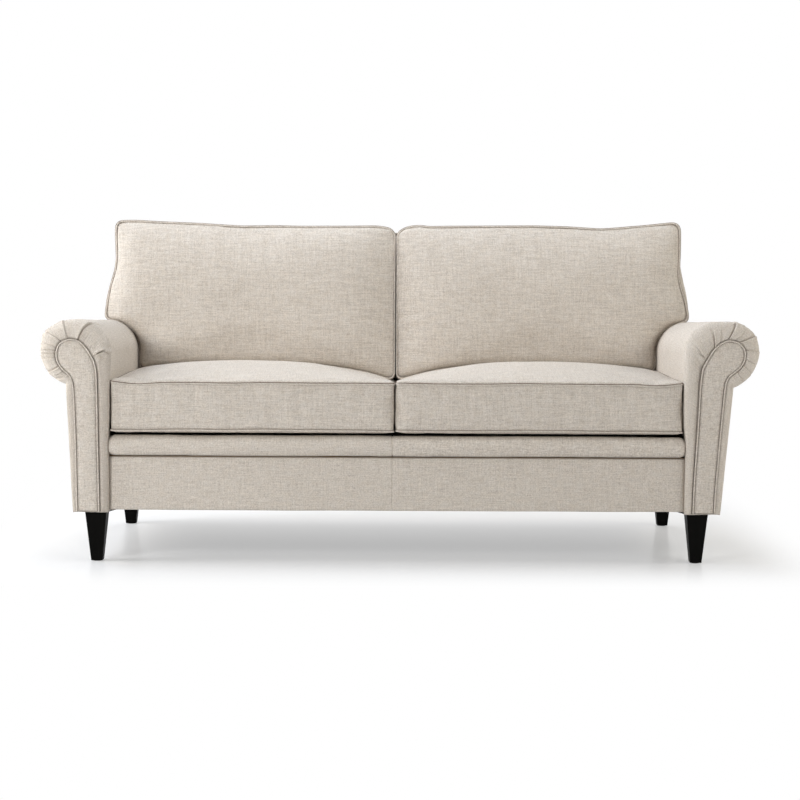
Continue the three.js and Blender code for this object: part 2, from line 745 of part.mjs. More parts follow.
function backCushion() {
  const middleX = (seatCushionInner + seatCushionOuter) / 2;
  const seatBelow = seatCushionTop + seatCrown(middleX, backCushionFaceY) + contact;
  const bottom = seatBelow + (backCushionFaceY - front) * (armPitch - seatPitch);
  const side = armInner - cushionSideGap;
  const notchX = armInner + armRollRadius;
  const earX = armInner + backCushionEar;
  const topOuterX = earX - backCushionTopTaper;
  const topOuter = armHeight + backCushionRise;
  const topMiddle = topOuter - backCushionTopSag;
  const topInner = topOuter - backCushionInnerSag;
  const notchRadius = armRollRadius + contact;
  const corners = [[seatCushionInner, bottom], [side, bottom], [side, armRollZ]];
  const radii = [backCushionCorner, backCushionCorner, 0];
  for (let i = 1; i <= innerArcSteps; i += 1) {
    const angle = Math.PI - (Math.PI / 2) * (i / innerArcSteps);
    corners.push([notchX + notchRadius * Math.cos(angle), armRollZ + notchRadius * Math.sin(angle)]);
    radii.push(0);
  }
  corners.push([earX, armRollZ + notchRadius], [topOuterX, topOuter]);
  radii.push(contact, backCushionCorner);
  for (const share of [...backCushionTopShares].reverse()) {
    const x = THREE.MathUtils.lerp(seatCushionInner, topOuterX, share);
    corners.push([x, THREE.MathUtils.lerp(topInner, topMiddle, Math.min(1, share * 2))]);
    radii.push(0);
  }
  corners.push([seatCushionInner, topInner]);
  radii.push(backCushionCorner);
  const outline = roundedOutline(corners, radii);
  const centre = new THREE.Vector2(
    earX / 2,
    THREE.MathUtils.lerp(bottom, topMiddle, backCushionCentreShare),
  );
  const behindFace = backCushionDepth - contact;
  const rearCrown = behindFace - backCushionBoxing;
  const halfWide = earX - centre.x;
  const halfHigh = topMiddle - centre.y;
  const swell = (x, v) => (1 - Math.abs((x - centre.x) / halfWide) ** backCrownPowerShare)
    * (1 - Math.min(1, Math.abs((v - centre.y) / halfHigh)) ** backCrownPowerShare);
  const ring = (share, depth, crown) => outline.map((p) => {
    const x = centre.x + (p.x - centre.x) * share;
    const v = centre.y + (p.y - centre.y) * share;
    return new THREE.Vector3(x, depth + crown * swell(x, v) * (1 - share ** backEdgePowerShare), v);
  });
  const midShare = 1 - backCushionDrawIn / earX;
  const rings = [
    ...[...backCrownScaleShares].reverse().map((share) => ring(share, backCushionBoxing, rearCrown)),
    ring(1, backCushionBoxing, 0),
    ring(midShare, backCushionBoxing / 2, 0),
    ring(1, 0, 0),
    ...backCrownScaleShares.map((share) => ring(share, 0, -backCushionCrown)),
  ];
  const rearTip = new THREE.Vector3(centre.x, behindFace, centre.y);
  const frontTip = new THREE.Vector3(centre.x, -backCushionCrown, centre.y);
  const cushion = loft(rings, (p) => new THREE.Vector2(p.x, p.z), rearTip, frontTip);
  const place = cushion.attributes.position;
  for (let i = 0; i < place.count; i += 1) {
    const v = place.getZ(i);
    const lean = (v + front * armPitch - backCushionFaceZ) * backRecline;
    const y = (backCushionFaceY + place.getY(i) + lean) / (1 + armPitch * backRecline);
    place.setXYZ(i, place.getX(i), y, v - (y - front) * armPitch);
  }
  return cushion;
}

function addCushions() {
  addPair('seat_cushion', seatCushion(), finishes.linen);
  addPair('back_cushion', backCushion(), finishes.linen);
}

addLegs();
addSeatFrame();
addArmFrame();
addBackFrame();
addSprings();
addWebbing();
addArms();
addBackCovers();
addSeatCovers();
addCushions();

export default sofa;
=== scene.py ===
# The visual model of an english roll arm sofa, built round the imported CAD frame. Metres.
# +X is to the right seen from the front, -Y the front, +Z up. Pieces are shaped for the right half and
# mirrored for the left, with each side's own folds.
import math

import bmesh
import bpy
import numpy as np
from mathutils import Matrix, Vector
from mathutils.kdtree import KDTree


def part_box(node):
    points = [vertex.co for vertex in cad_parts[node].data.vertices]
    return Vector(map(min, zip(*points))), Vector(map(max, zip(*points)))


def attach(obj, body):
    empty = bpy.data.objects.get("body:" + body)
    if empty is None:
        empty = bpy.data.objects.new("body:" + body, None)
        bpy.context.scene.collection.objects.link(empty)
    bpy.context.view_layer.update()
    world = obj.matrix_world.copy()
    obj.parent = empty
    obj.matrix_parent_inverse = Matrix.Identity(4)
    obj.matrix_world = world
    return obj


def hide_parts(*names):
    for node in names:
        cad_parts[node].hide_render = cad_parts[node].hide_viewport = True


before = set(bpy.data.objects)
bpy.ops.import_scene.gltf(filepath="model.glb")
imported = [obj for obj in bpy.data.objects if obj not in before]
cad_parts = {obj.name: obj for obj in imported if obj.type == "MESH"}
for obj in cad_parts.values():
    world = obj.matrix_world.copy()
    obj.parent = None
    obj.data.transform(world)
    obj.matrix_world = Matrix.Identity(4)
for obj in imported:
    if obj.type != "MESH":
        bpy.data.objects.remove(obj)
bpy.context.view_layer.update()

# The frame's slopes and planes, as the CAD source has them
FRONT = -0.440
ARM_SLOPE = math.tan(math.radians(2.8))
SEAT_SLOPE = math.tan(math.radians(0.6))
BACK_SLOPE = math.tan(math.radians(9.6))
BACK_TOP = 0.865
BACK_TOP_Y = 0.378
ARM_INNER = 0.748
ROLL = (0.856, 0.554)
ROLL_RADIUS = 0.086
INNER_X = 0.834
FLOOR_OF_FRAME = 0.133
BODY = "sofa_frame"
SIDES = {"right": 1.0, "left": -1.0}
# Seeds and weave marks count on from these, so that no two sides are alike
ORDER = {"left": 0, "right": 1}


# Tools
def smooth(t):
    t = np.clip(t, 0.0, 1.0)
    return t * t * (3.0 - 2.0 * t)


def bell(d, width):
    return np.exp(-((d / width) ** 2))


def lattice(cells, seed):
    q = cells.astype(np.uint64)
    n = q[..., 0] * np.uint64(374761393) + q[..., 1] * np.uint64(668265263)
    n = n + q[..., 2] * np.uint64(2147483629) + np.uint64(seed * 1442695041)
    n = (n ^ (n >> np.uint64(13))) & np.uint64(0xFFFFFFFF)
    n = (n * np.uint64(1274126177)) & np.uint64(0xFFFFFFFF)
    n = n ^ (n >> np.uint64(16))
    return n.astype(np.float64) / 2**31 - 1.0


def noise(points, size, seed=0):
    """Smooth noise from -1 to 1 at each point; size is the distance over which it changes."""
    p = np.asarray(points, float) / np.asarray(size, float) + 4096.0
    base = np.floor(p)
    f = p - base
    f = f * f * (3.0 - 2.0 * f)
    total = 0.0
    for dx in (0, 1):
        for dy in (0, 1):
            for dz in (0, 1):
                w = np.where(dx, f[..., 0], 1 - f[..., 0])
                w = w * np.where(dy, f[..., 1], 1 - f[..., 1])
                w = w * np.where(dz, f[..., 2], 1 - f[..., 2])
                total = total + w * lattice(base + (dx, dy, dz), seed)
    return total


def stacked(*parts):
    """Arrays and numbers side by side along a last axis: points from their coordinates, for one."""
    return np.stack(np.broadcast_arrays(*parts), -1)


def curve_through(keys, values, at):
    """Cubic interpolation of points at rising keys."""
    keys, values, at = np.asarray(keys, float), np.asarray(values, float), np.asarray(at, float)
    slope = np.gradient(values, keys, axis=0)
    i = np.clip(np.searchsorted(keys, at) - 1, 0, len(keys) - 2)
    h = (keys[i + 1] - keys[i])[:, None]
    t = ((at - keys[i])[:, None]) / h
    a, b, m0, m1 = values[i], values[i + 1], slope[i], slope[i + 1]
    return (
        (2 * t**3 - 3 * t**2 + 1) * a
        + (t**3 - 2 * t**2 + t) * h * m0
        + (-2 * t**3 + 3 * t**2) * b
        + (t**3 - t**2) * h * m1
    )


def lengths(points):
    step = np.linalg.norm(np.diff(points, axis=0), axis=1)
    return np.concatenate([[0.0], np.cumsum(step)])


def resampled(points, spacing, closed=False):
    points = np.asarray(points, float)
    if closed:
        points = np.vstack([points, points[:1]])
    s = lengths(points)
    count = max(4, int(round(s[-1] / spacing)))
    at = np.linspace(0, s[-1], count + 1)
    out = np.stack([np.interp(at, s, points[:, k]) for k in range(points.shape[1])], 1)
    return out[:-1] if closed else out


def rounded(points, passes, closed=False):
    """The line with its kinks eased."""
    p = np.asarray(points, float).copy()
    for _ in range(passes):
        if closed:
            p = 0.5 * p + 0.25 * (np.roll(p, 1, 0) + np.roll(p, -1, 0))
        else:
            p[1:-1] = 0.5 * p[1:-1] + 0.25 * (p[:-2] + p[2:])
    return p


def placed(name, data):
    obj = bpy.data.objects.new(name, data)
    bpy.context.scene.collection.objects.link(obj)
    return obj


def values(things, key, width=3, kind=float):
    """One property of all vertices, faces or loops, as an array."""
    out = np.zeros(len(things) * width, kind)
    things.foreach_get(key, out)
    return out.reshape(-1, width) if width > 1 else out


def store(mesh, name, kind, where, key, data):
    mesh.attributes.new(name, kind, where).data.foreach_set(key, np.asarray(data, np.float32).ravel())


def make(name, points, faces, weave, crease=None, body=BODY, look=None, slot="upholstery"):
    """A piece whose cloth lies along weave, in linen if look says nothing, and darkened by crease, a painted
    shade.
    """
    mesh = bpy.data.meshes.new(name)
    mesh.from_pydata([tuple(p) for p in np.asarray(points, float)], [], faces)
    mesh.validate()
    obj = placed(name, mesh)
    mesh.shade_smooth()
    store(mesh, "weave", "FLOAT_VECTOR", "POINT", "vector", weave)
    if crease is not None:
        store(mesh, "crease", "FLOAT", "POINT", "value", crease)
    mesh.materials.append(look or LINEN)
    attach(obj, body)
    return obj


def stands_for(obj, fill, *nodes):
    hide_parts(*nodes)


def box_weave(obj, offset):
    """The weave's directions from the way that each face looks, for a piece that was remeshed."""
    mesh = obj.data
    turned_up = np.abs(values(mesh.polygons, "normal")) * (1.0, 1.0, 1.15)
    kind = np.repeat(np.argmax(turned_up, axis=1), values(mesh.polygons, "loop_total", 1, int))
    p = values(mesh.vertices, "co")[values(mesh.loops, "vertex_index", 1, int)]
    u = np.where(kind == 0, p[:, 1], p[:, 0])
    v = np.where(kind == 2, p[:, 1], p[:, 2])
    store(mesh, "weave", "FLOAT_VECTOR", "CORNER", "vector", stacked(u, v, offset + 0.37 * kind))


def tube_faces(rings, count, closed=False, at=0):
    """Faces through rings of points, which are joined into a loop or closed by an n-gon at each end."""
    faces = []
    for r in range(rings if closed else rings - 1):
        a, b = at + r * count, at + (r + 1) % rings * count
        for i in range(count):
            j = (i + 1) % count
            faces.append((a + i, a + j, b + j, b + i))
    if not closed:
        last = at + (rings - 1) * count
        faces += [tuple(range(at + count - 1, at - 1, -1)), tuple(range(last, last + count))]
    return faces


def loft(name, rings, weave, **more):
    """A closed skin through rings of equal length."""
    rings = np.asarray(rings, float)
    faces = tube_faces(*rings.shape[:2])
    return face_out(make(name, rings.reshape(-1, 3), faces, np.reshape(weave, (-1, 3)), **more))


def plate(name, top, thickness, weave, crease=None):
    """A closed plate: a grid of points for its face, and the same grid moved by thickness for its back."""
    k, n, _ = top.shape
    off = k * n
    faces = []
    for r in range(k - 1):
        for i in range(n - 1):
            a = r * n + i
            faces.append((a, a + 1, a + n + 1, a + n))
            faces.append((off + a, off + a + n, off + a + n + 1, off + a + 1))
    edge = [*range(n - 1), *range(n - 1, off - 1, n), *range(off - 1, off - n, -1), *range(off - n, 0, -n)]
    faces += [(b, a, off + a, off + b) for a, b in zip(edge, edge[1:] + edge[:1])]
    points = np.concatenate([top, top + np.asarray(thickness, float)]).reshape(-1, 3)
    mark = None if crease is None else np.tile(crease.ravel(), 2)
    return face_out(make(name, points, faces, np.tile(np.reshape(weave, (-1, 3)), (2, 1)), mark))


def unit(vectors):
    return vectors / np.linalg.norm(vectors, axis=1)[:, None]


def tube_points(path, radius, closed, up, sides, flank, seed):
    """Rings round a path, their weave and how dark the shade painted on their flanks lies.

    The radius varies a little, as a stitched cord's does.
    """
    path = np.asarray(path, float)
    tangent = np.roll(path, -1, 0) - np.roll(path, 1, 0) if closed else np.gradient(path, axis=0)
    tangent /= np.linalg.norm(tangent, axis=1)[:, None] + 1e-12
    side = np.cross(tangent, np.asarray(up, float))
    along_up = np.linalg.norm(side, axis=1) < 0.05
    side[along_up] = np.cross(tangent[along_up], (0.3, 0.2, 1.0))
    side = unit(side)
    over = np.cross(side, tangent)
    angle = np.linspace(0, 2 * np.pi, sides, endpoint=False)
    r = radius + 0.00012 * noise(path, 0.011, seed)
    cos, sin = np.cos(angle)[None, :, None], np.sin(angle)[None, :, None]
    ring = path[:, None, :] + r[:, None, None] * (side[:, None, :] * cos + over[:, None, :] * sin)
    s, shape = lengths(path)[:, None], (len(path), sides)
    weave = stacked(s + 0.7 * radius * angle, radius * angle + 0.9 * s, 0.11 * seed)
    return ring, weave, np.broadcast_to(flank * smooth((0.5 - np.sin(angle)) / 0.5), shape)


def cords(
    name, paths, radius, seed, closed=False, up=(0, -1, 0), sides=10, flank=0.0, stitches=(), body=BODY
):
    """One piece of welt cords along the given lines, with thin cords sunk beside them that are painted dark
    as the shade of the seam's groove.

    up is the side on which a cord shows, flank is how dark the shade painted on a cord's flank lies, and each
    shade cord comes with its radius and how dark it lies.
    """
    points, faces, weave, crease = [], [], [], []
    lines = [(path, radius, flank, None) for path in paths]
    # The thin cords beside the welts are painted dark as the shade in the seam's groove
    lines += [(path, r, 0.0, dark) for path, r, dark in stitches]
    for k, (path, r, side_dark, dark) in enumerate(lines):
        ring, w, mark = tube_points(path, r, closed, up, sides, side_dark, seed + k)
        faces += tube_faces(len(ring), sides, closed, sum(map(len, points)))
        crease.append((mark if dark is None else np.full_like(mark, dark)).ravel())
        points.append(ring.reshape(-1, 3))
        weave.append(w.reshape(-1, 3))
    return face_out(make(name, np.vstack(points), faces, np.vstack(weave), np.concatenate(crease), body))


def face_out(obj):
    """Turns the faces of a closed mesh outward."""
    bm = bmesh.new()
    bm.from_mesh(obj.data)
    if bm.calc_volume(signed=True) < 0:
        bmesh.ops.reverse_faces(bm, faces=bm.faces[:])
    bm.to_mesh(obj.data)
    bm.free()
    return obj


def mirror_if(points, side):
    out = np.array(points, float)
    if side == "left":
        out[..., 0] *= -1
    return out


# Materials
WHITE = (1.0, 1.0, 1.0, 1.0)
# The colour of the shade painted into creases, seams and the thin cords beside welts
CREASE_SHADE = (0.100, 0.058, 0.030, 1.0)


class Nodes:
    """Short names for the nodes of one tree."""

    def __init__(self, tree):
        self.tree = tree

    def new(self, kind, inputs=(), **settings):
        made = self.tree.nodes.new("ShaderNode" + kind)
        for key, value in settings.items():
            setattr(made, key, value)
        for key, value in dict(inputs).items():
            self.feed(made, key, value)
        return made

    def feed(self, node, key, value):
        if isinstance(value, bpy.types.NodeSocket):
            self.tree.links.new(value, node.inputs[key])
        else:
            node.inputs[key].default_value = value

    def attribute(self, name, output):
        return self.new("Attribute", attribute_name=name).outputs[output]

    def position(self):
        return self.new("TexCoord").outputs["Object"]

    def noise(self, vector, scale, detail=1.0, roughness=0.5, distortion=0.0):
        """Noise along vector, scaled by one number or by one for each axis."""
        if not isinstance(scale, float):
            vector, scale = self.new("Mapping", {"Vector": vector, "Scale": scale}).outputs["Vector"], 1.0
        inputs = {"Vector": vector, "Scale": scale, "Detail": detail, "Roughness": roughness}
        return self.new("TexNoise", {**inputs, "Distortion": distortion}).outputs["Fac"]

    def ramp(self, value, *stops):
        made = self.new("ValToRGB", {"Fac": value})
        band = made.color_ramp
        while len(band.elements) < len(stops):
            band.elements.new(0.5)
        for element, (place, colour) in zip(band.elements, stops):
            element.position = place
            element.color = (*colour, 1.0)
        return made.outputs["Color"]

    def range(self, value, low, high, to_low=0.0, to_high=1.0, **settings):
        inputs = {"Value": value, "From Min": low, "From Max": high, "To Min": to_low, "To Max": to_high}
        return self.new("MapRange", inputs, **settings).outputs["Result"]

    def math(self, operation, *terms):
        return self.new("Math", enumerate(terms), operation=operation).outputs[0]

    def total(self, *parts):
        made = 0.0
        for share, part in parts:
            made = self.math("MULTIPLY_ADD", part, share, made)
        return made

    def mix(self, share, a, b, blend="MIX"):
        """Colours a and b mixed, by the numbers of the sockets that a colour mix has."""
        return self.new("Mix", {0: share, 6: a, 7: b}, data_type="RGBA", blend_type=blend).outputs[2]

    def bump(self, height, distance, strength, after=None):
        made = self.new("Bump", {"Height": height, "Distance": distance, "Strength": strength})
        if after is not None:
            self.feed(made, "Normal", after)
        return made.outputs["Normal"]

    def finish(self, colour, normal, roughness=None):
        shader = self.tree.nodes["Principled BSDF"]
        self.feed(shader, "Base Color", colour)
        self.feed(shader, "Normal", normal)
        if roughness is not None:
            self.feed(shader, "Roughness", roughness)


def material(name, roughness, specular=0.3, **more):
    mat = bpy.data.materials.new(name)
    mat.use_nodes = True
    settings = {"Roughness": roughness, "Specular_IOR_Level": specular, **more}
    for key, value in settings.items():
        mat.node_tree.nodes["Principled BSDF"].inputs[key.replace("_", " ")].default_value = value
    return mat, Nodes(mat.node_tree)


def srgb(r, g, b):
    """Linear values of a colour given in the display's scale of 0 to 255."""
    return tuple((c / 255 / 12.92) if c <= 10 else (((c / 255 + 0.055) / 1.055) ** 2.4) for c in (r, g, b))


def linen_material(name, pale, middle, dark, warm, cool):
    """Heathered linen: broken lines of thicker and darker yarn both ways over a fine weave."""
    mat, n = material(name, 0.92, 0.10, Sheen_Weight=0.03, Sheen_Roughness=0.5)
    at = n.attribute("weave", "Vector")
    # Each yarn's share of the tone, and its noise's scale along and across the cloth and from piece to piece
    yarns = [
        (share, n.range(n.noise(at, size), 0.34, 0.66))
        for share, size in (
            (0.17, (170, 760, 50)), (0.13, (760, 150, 50)), (0.22, (300, 1000, 70)), (0.17, (1000, 260, 70)),
            (0.18, (26, 640, 20)), (0.13, (640, 22, 20)),
        )
    ]
    weft, warp, weft_fine, warp_fine = (line for _, line in yarns[:4])
    colour = n.ramp(n.total(*yarns), (0.18, dark), (0.50, middle), (0.82, pale))
    hue = n.ramp(n.noise(at, (70, 90, 10), 2.0), (0.32, warm), (0.68, cool))
    colour = n.mix(1.0, colour, hue, "MULTIPLY")
    drift = n.noise(at, (5, 6, 5), 3.0)
    colour = n.mix(1.0, colour, n.ramp(drift, (0.3, (0.98,) * 3), (0.7, (1.0,) * 3)), "MULTIPLY")
    fleck = n.range(n.noise(at, (190, 620, 60)), 0.70, 0.77, 0.0, 0.4)
    colour = n.mix(fleck, colour, (*(0.7 * x for x in dark), 1.0))
    # Painted shade: the colour is darkened towards CREASE_SHADE where crease says, in creases, beside seams
    # and on the thin cords beside welts
    crease = n.math("MULTIPLY", n.attribute("crease", "Fac"), 0.82)
    colour = n.mix(crease, colour, CREASE_SHADE)
    fine = n.bump(n.math("ADD", weft_fine, warp_fine), 0.0003, 0.5)
    n.finish(colour, n.bump(n.math("ADD", weft, warp), 0.0003, 0.5, fine))
    return mat


def cloth_material(name, light, dark, pitch, depth, by_place=False):
    """Plain dull cloth, its yarns along the piece's own axes x and z if by_place, or else along its weave."""
    mat, n = material(name, 0.95, 0.1)
    at = n.position() if by_place else n.attribute("weave", "Vector")
    weft = n.noise(at, (60, 60, pitch) if by_place else (60, pitch, 30), 2.0)
    warp = n.noise(at, (pitch, 60, 60) if by_place else (pitch, 60, 30), 2.0)
    yarns = n.math("ADD", n.math("MULTIPLY", weft, 0.5), n.math("MULTIPLY", warp, 0.5))
    n.finish(n.ramp(yarns, (0.3, dark), (0.7, light)), n.bump(yarns, depth, 0.6))
    return mat


def wood_material(name, stops, roughness, grain, specular=0.4, bump=0.0003):
    """Grain that runs along each timber's length, which the grain scale gives."""
    mat, n = material(name, roughness, specular)
    rings = n.noise(n.position(), grain, 5.0, 0.6, 0.6)
    pores = n.noise(n.position(), tuple(6 * g for g in grain), 2.0)
    both = n.math("ADD", n.math("MULTIPLY", rings, 0.75), n.math("MULTIPLY", pores, 0.25))
    worn = n.range(pores, 0.3, 0.7, roughness - 0.05, roughness + 0.06)
    n.finish(n.ramp(both, *stops), n.bump(both, bump, 0.5), worn)
    return mat


LINEN = linen_material(
    "linen", pale=srgb(225, 218, 208), middle=srgb(203, 194, 183), dark=srgb(168, 157, 145),
    warm=(1.0, 0.988, 0.97), cool=(0.982, 0.99, 1.0),
)
LINING = cloth_material("lining", srgb(46, 44, 42), srgb(22, 21, 20), 700, 0.0006)
WEBBING = cloth_material("jute_webbing", srgb(176, 150, 112), srgb(110, 88, 58), 420, 0.001, True)


# Camera, as it was solved from the photograph: its place, its focal length and its turns in degrees
CAMERA = (0.004, -5.664, 0.870)
FRAME_PIXELS, FOCAL_PIXELS, SENSOR = 800.0, 2012.0, 36.0
TURN, TILT, ROLL_OVER = -0.04, 4.79, 0.26
camera_data = bpy.data.cameras.new("camera")
camera_data.sensor_width = SENSOR
camera_data.lens = FOCAL_PIXELS / FRAME_PIXELS * SENSOR
camera_data.clip_start, camera_data.clip_end = 0.1, 60
camera = placed("camera", camera_data)
aim = Matrix.Rotation(math.radians(TURN), 4, "Z") @ Matrix.Rotation(math.radians(90 - TILT), 4, "X")
camera.matrix_world = Matrix.Translation(CAMERA) @ aim @ Matrix.Rotation(math.radians(ROLL_OVER), 4, "Z")
bpy.context.scene.camera = camera


# Arms. The section's parameter p runs up the inner side (-1 to 0), round the inner quarter (0 to 1), over the
# flat (to 1.15), round the roll (to 3), down the outer side (to 4) and back under the foot (to 5).
FACING_LINES = {
    "left": [
        (-1, 0.7794, 0.137), (-0.69, 0.7812, 0.267), (-0.34, 0.7828, 0.410), (-0.1, 0.7845, 0.500),
        (0.05, 0.7882, 0.5227), (0.3, 0.7984, 0.5451), (0.62, 0.8133, 0.5674), (0.95, 0.8311, 0.5824),
        (1.2, 0.8518, 0.5862), (1.5, 0.8687, 0.5809), (1.85, 0.8819, 0.5692), (2.15, 0.8873, 0.5483),
        (2.5, 0.8823, 0.5249), (2.78, 0.8677, 0.5051), (2.95, 0.8535, 0.4915), (3.06, 0.8465, 0.4745),
        (3.35, 0.8406, 0.3631), (3.7, 0.8381, 0.239), (4.0, 0.8368, 0.137),
    ],
    "right": [
        (-1, 0.7763, 0.137), (-0.8, 0.7785, 0.213), (-0.55, 0.7835, 0.308), (-0.3, 0.788, 0.403),
        (-0.1, 0.7912, 0.475), (0.0, 0.7945, 0.5066), (0.25, 0.8005, 0.5246), (0.55, 0.8097, 0.5422),
        (0.8, 0.8214, 0.5618), (1.02, 0.8333, 0.5749), (1.2, 0.8462, 0.5842), (1.4, 0.8617, 0.5896),
        (1.62, 0.8794, 0.5872), (1.85, 0.8955, 0.5782), (2.05, 0.9041, 0.5642), (2.25, 0.9051, 0.5486),
        (2.5, 0.8992, 0.5295), (2.7, 0.8881, 0.5155), (2.85, 0.8746, 0.5052), (2.95, 0.8644, 0.496),
        (3.03, 0.8576, 0.4832), (3.12, 0.8545, 0.4639), (3.35, 0.8465, 0.368), (3.6, 0.8395, 0.273),
        (3.85, 0.834, 0.188), (4.0, 0.832, 0.137),
    ],
}
# How far the roll's centre lies from the frame's, and its radius at angles from the horizontal
ROLL_SHIFT = {"left": -0.0080, "right": 0.0045}
ROLL_ANGLES = (-78, -58, -40, -20, 0, 18, 30, 38, 50, 70, 90)
ROLL_RADII = {
    "left": (0.0855, 0.0850, 0.0845, 0.0838, 0.0850, 0.0868, 0.0902, 0.0912, 0.0872, 0.0852, 0.0850),
    "right": (0.0885, 0.0860, 0.0842, 0.0836, 0.0862, 0.0878, 0.0900, 0.0912, 0.0898, 0.0872, 0.0864),
}
# The inner side at heights: it gives way to the seat's front and cushions
INNER_HEIGHTS = (0.133, 0.333, 0.363, 0.455, 0.510)
INNER_PLACES = {
    "left": (0.7552, 0.7552, 0.7532, 0.7522, 0.748),
    "right": (0.7556, 0.7556, 0.7512, 0.7502, 0.748),
}
FOOT_X = 0.8495
# The gap that is left between a piece and the inside back that it meets
BACK_GAP = 0.0006
# Pleats round the front of the roll: where each starts at the facing and ends at the roll, the shares of the
# border between which it runs, its height, and the side to which it folds
PLEATS = {
    "left": [
        (0.98, 0.66, 0.00, 1.00, 0.0052, 1),
        (1.30, 1.33, 0.00, 1.30, 0.0028, 1),
        (1.60, 1.79, 0.00, 1.25, 0.0026, 1),
        (1.92, 1.97, 0.10, 0.90, 0.0018, 1),
        (2.04, 2.12, 0.00, 0.95, 0.0032, 1),
        (2.15, 2.20, 0.05, 1.05, 0.0026, 1),
        (2.27, 2.30, 0.00, 0.80, 0.0022, 1),
        (2.62, 2.56, 0.00, 1.00, 0.0036, 1),
        (2.78, 2.66, 0.00, 0.80, 0.0018, -1),
        (2.97, 2.74, 0.00, 0.95, 0.0024, 1),
        (0.70, 0.50, 0.00, 0.60, 0.0018, -1),
        (0.46, 0.36, 0.05, 0.45, 0.0014, 1),
    ],
    "right": [
        (0.93, 0.86, 0.02, 0.62, 0.0044, 1),
        (1.08, 1.02, 0.00, 0.60, 0.0020, -1),
        (1.38, 1.31, 0.10, 1.10, 0.0052, 1),
        (1.56, 1.52, 0.00, 0.80, 0.0020, -1),
        (1.74, 1.78, 0.06, 1.00, 0.0046, 1),
        (2.04, 2.08, 0.05, 1.00, 0.0024, 1),
        (2.30, 2.34, 0.05, 0.90, 0.0020, -1),
        (2.52, 2.58, 0.05, 1.00, 0.0024, 1),
        (2.76, 2.80, 0.00, 0.95, 0.0026, 1),
        (0.62, 0.50, 0.05, 0.60, 0.0016, 1),
        (0.40, 0.28, 0.05, 0.60, 0.0016, -1),
    ],
}
# Puckers, seen from the front: a short stitched dent from one end to the other and its depth, and the depth
# of the slack that hangs below it
PUCKERS = {
    "left": [(0.7825, 0.5485, 0.7625, 0.5575, 0.0056, 0.0034), (0.7640, 0.5560, 0.7490, 0.5470, 0.0030, 0.0)],
    "right": [(0.7990, 0.5480, 0.7860, 0.5560, 0.0024, 0.0014)],
}
BORDER = np.concatenate([[0, 0.015, 0.03, 0.05, 0.07, 0.09, 0.12, 0.15, 0.18], np.linspace(0.22, 1.0, 26)])
# Depths of the border's edge at the cord, of its outer edge, of the facing and of its cord
SEAM_Y, BORDER_EDGE_Y, FACING_Y, CORD_Y = -0.4318, -0.4060, -0.4338, -0.4396
# How far the arm's cloth is drawn in over the outer side, and how far its rear end turns
OUTER_TUCK, REAR_TURN = 0.0065, 0.010
# How far the border is painted in shade beside the seat, and on the arm's outer side
BORDER_SHADE = {"left": (0.22, 0.26), "right": (0.0, 0.0)}


def arm_parameters():
    spans = ((-1, -0.12, 44), (-0.12, 1, 190), (1, 1.15, 26), (1.15, 3, 400), (3, 4, 46), (4, 5, 12))
    return np.concatenate([np.linspace(start, end, count, endpoint=False) for start, end, count in spans])


def arm_section(p, side, tuck=0.0):
    """The outline (x, v) and its outward normal at each parameter. tuck draws in the outer side."""
    x, v, nx, nv = (np.zeros_like(p) for _ in range(4))
    centre = ROLL[0] + ROLL_SHIFT[side]
    a = p < 0
    v[a], nx[a] = FLOOR_OF_FRAME + (ROLL[1] - FLOOR_OF_FRAME) * (p[a] + 1), -1
    x[a] = np.interp(v[a], INNER_HEIGHTS, INNER_PLACES[side])
    b = (p >= 0) & (p < 1)
    angle = np.pi - np.pi / 2 * p[b]
    x[b], v[b] = INNER_X + ROLL_RADIUS * np.cos(angle), ROLL[1] + ROLL_RADIUS * np.sin(angle)
    nx[b], nv[b] = np.cos(angle), np.sin(angle)
    c = (p >= 1) & (p < 1.15)
    t = (p[c] - 1) / 0.15
    x[c], nv[c] = INNER_X + (centre - INNER_X) * t, 1
    v[c] = ROLL[1] + ROLL_RADIUS + (ROLL_RADII[side][-1] - ROLL_RADIUS) * smooth(t)
    d = (p >= 1.15) & (p < 3)
    turn = 90 - 168 * (p[d] - 1.15) / 1.85
    radius = np.interp(turn, ROLL_ANGLES, ROLL_RADII[side])
    radius = rounded(radius[:, None], 60)[:, 0]
    angle = np.radians(turn)
    x[d], v[d] = centre + radius * np.cos(angle), ROLL[1] + radius * np.sin(angle)
    nx[d], nv[d] = np.cos(angle), np.sin(angle)
    lip_x, lip_v = lip_of(side)
    e = (p >= 3) & (p < 4)
    t = p[e] - 3
    x[e] = lip_x + (FOOT_X - lip_x) * t - tuck
    v[e], nx[e] = lip_v + (FLOOR_OF_FRAME - lip_v) * t, 1
    f = p >= 4
    t = p[f] - 4
    inner = INNER_PLACES[side][0]
    x[f], v[f], nv[f] = FOOT_X - tuck + (inner - FOOT_X + tuck) * t, FLOOR_OF_FRAME, -1
    return x, v, nx, nv


def lip_of(side):
    """Where the roll turns in under itself and meets the outer side."""
    angle = math.radians(ROLL_ANGLES[0])
    radius = ROLL_RADII[side][0]
    return ROLL[0] + ROLL_SHIFT[side] + radius * math.cos(angle), ROLL[1] + radius * math.sin(angle)


def pitched(x, y, v):
    return stacked(x, y, v - ARM_SLOPE * (y - FRONT))


def on_inside_back(v, slope=ARM_SLOPE):
    """Where the line at height v of a pitched frame meets the inside back."""
    lean = (BACK_TOP - v + slope * -FRONT) * BACK_SLOPE
    return (BACK_TOP_Y - BACK_GAP - lean) / (1 + slope * BACK_SLOPE)


def fold(d, height, soft):
    """A pleat seen across: a step where one side lies over the other, which dies away from the crease."""
    edge = 0.0009 + 0.15 * soft
    step = smooth((d + edge) / (2 * edge))
    over = step * np.exp(-np.clip(d, 0, None) / soft)
    under = -0.75 * bell(d + 1.2 * edge, 1.2 * edge)
    return height * (over + under)


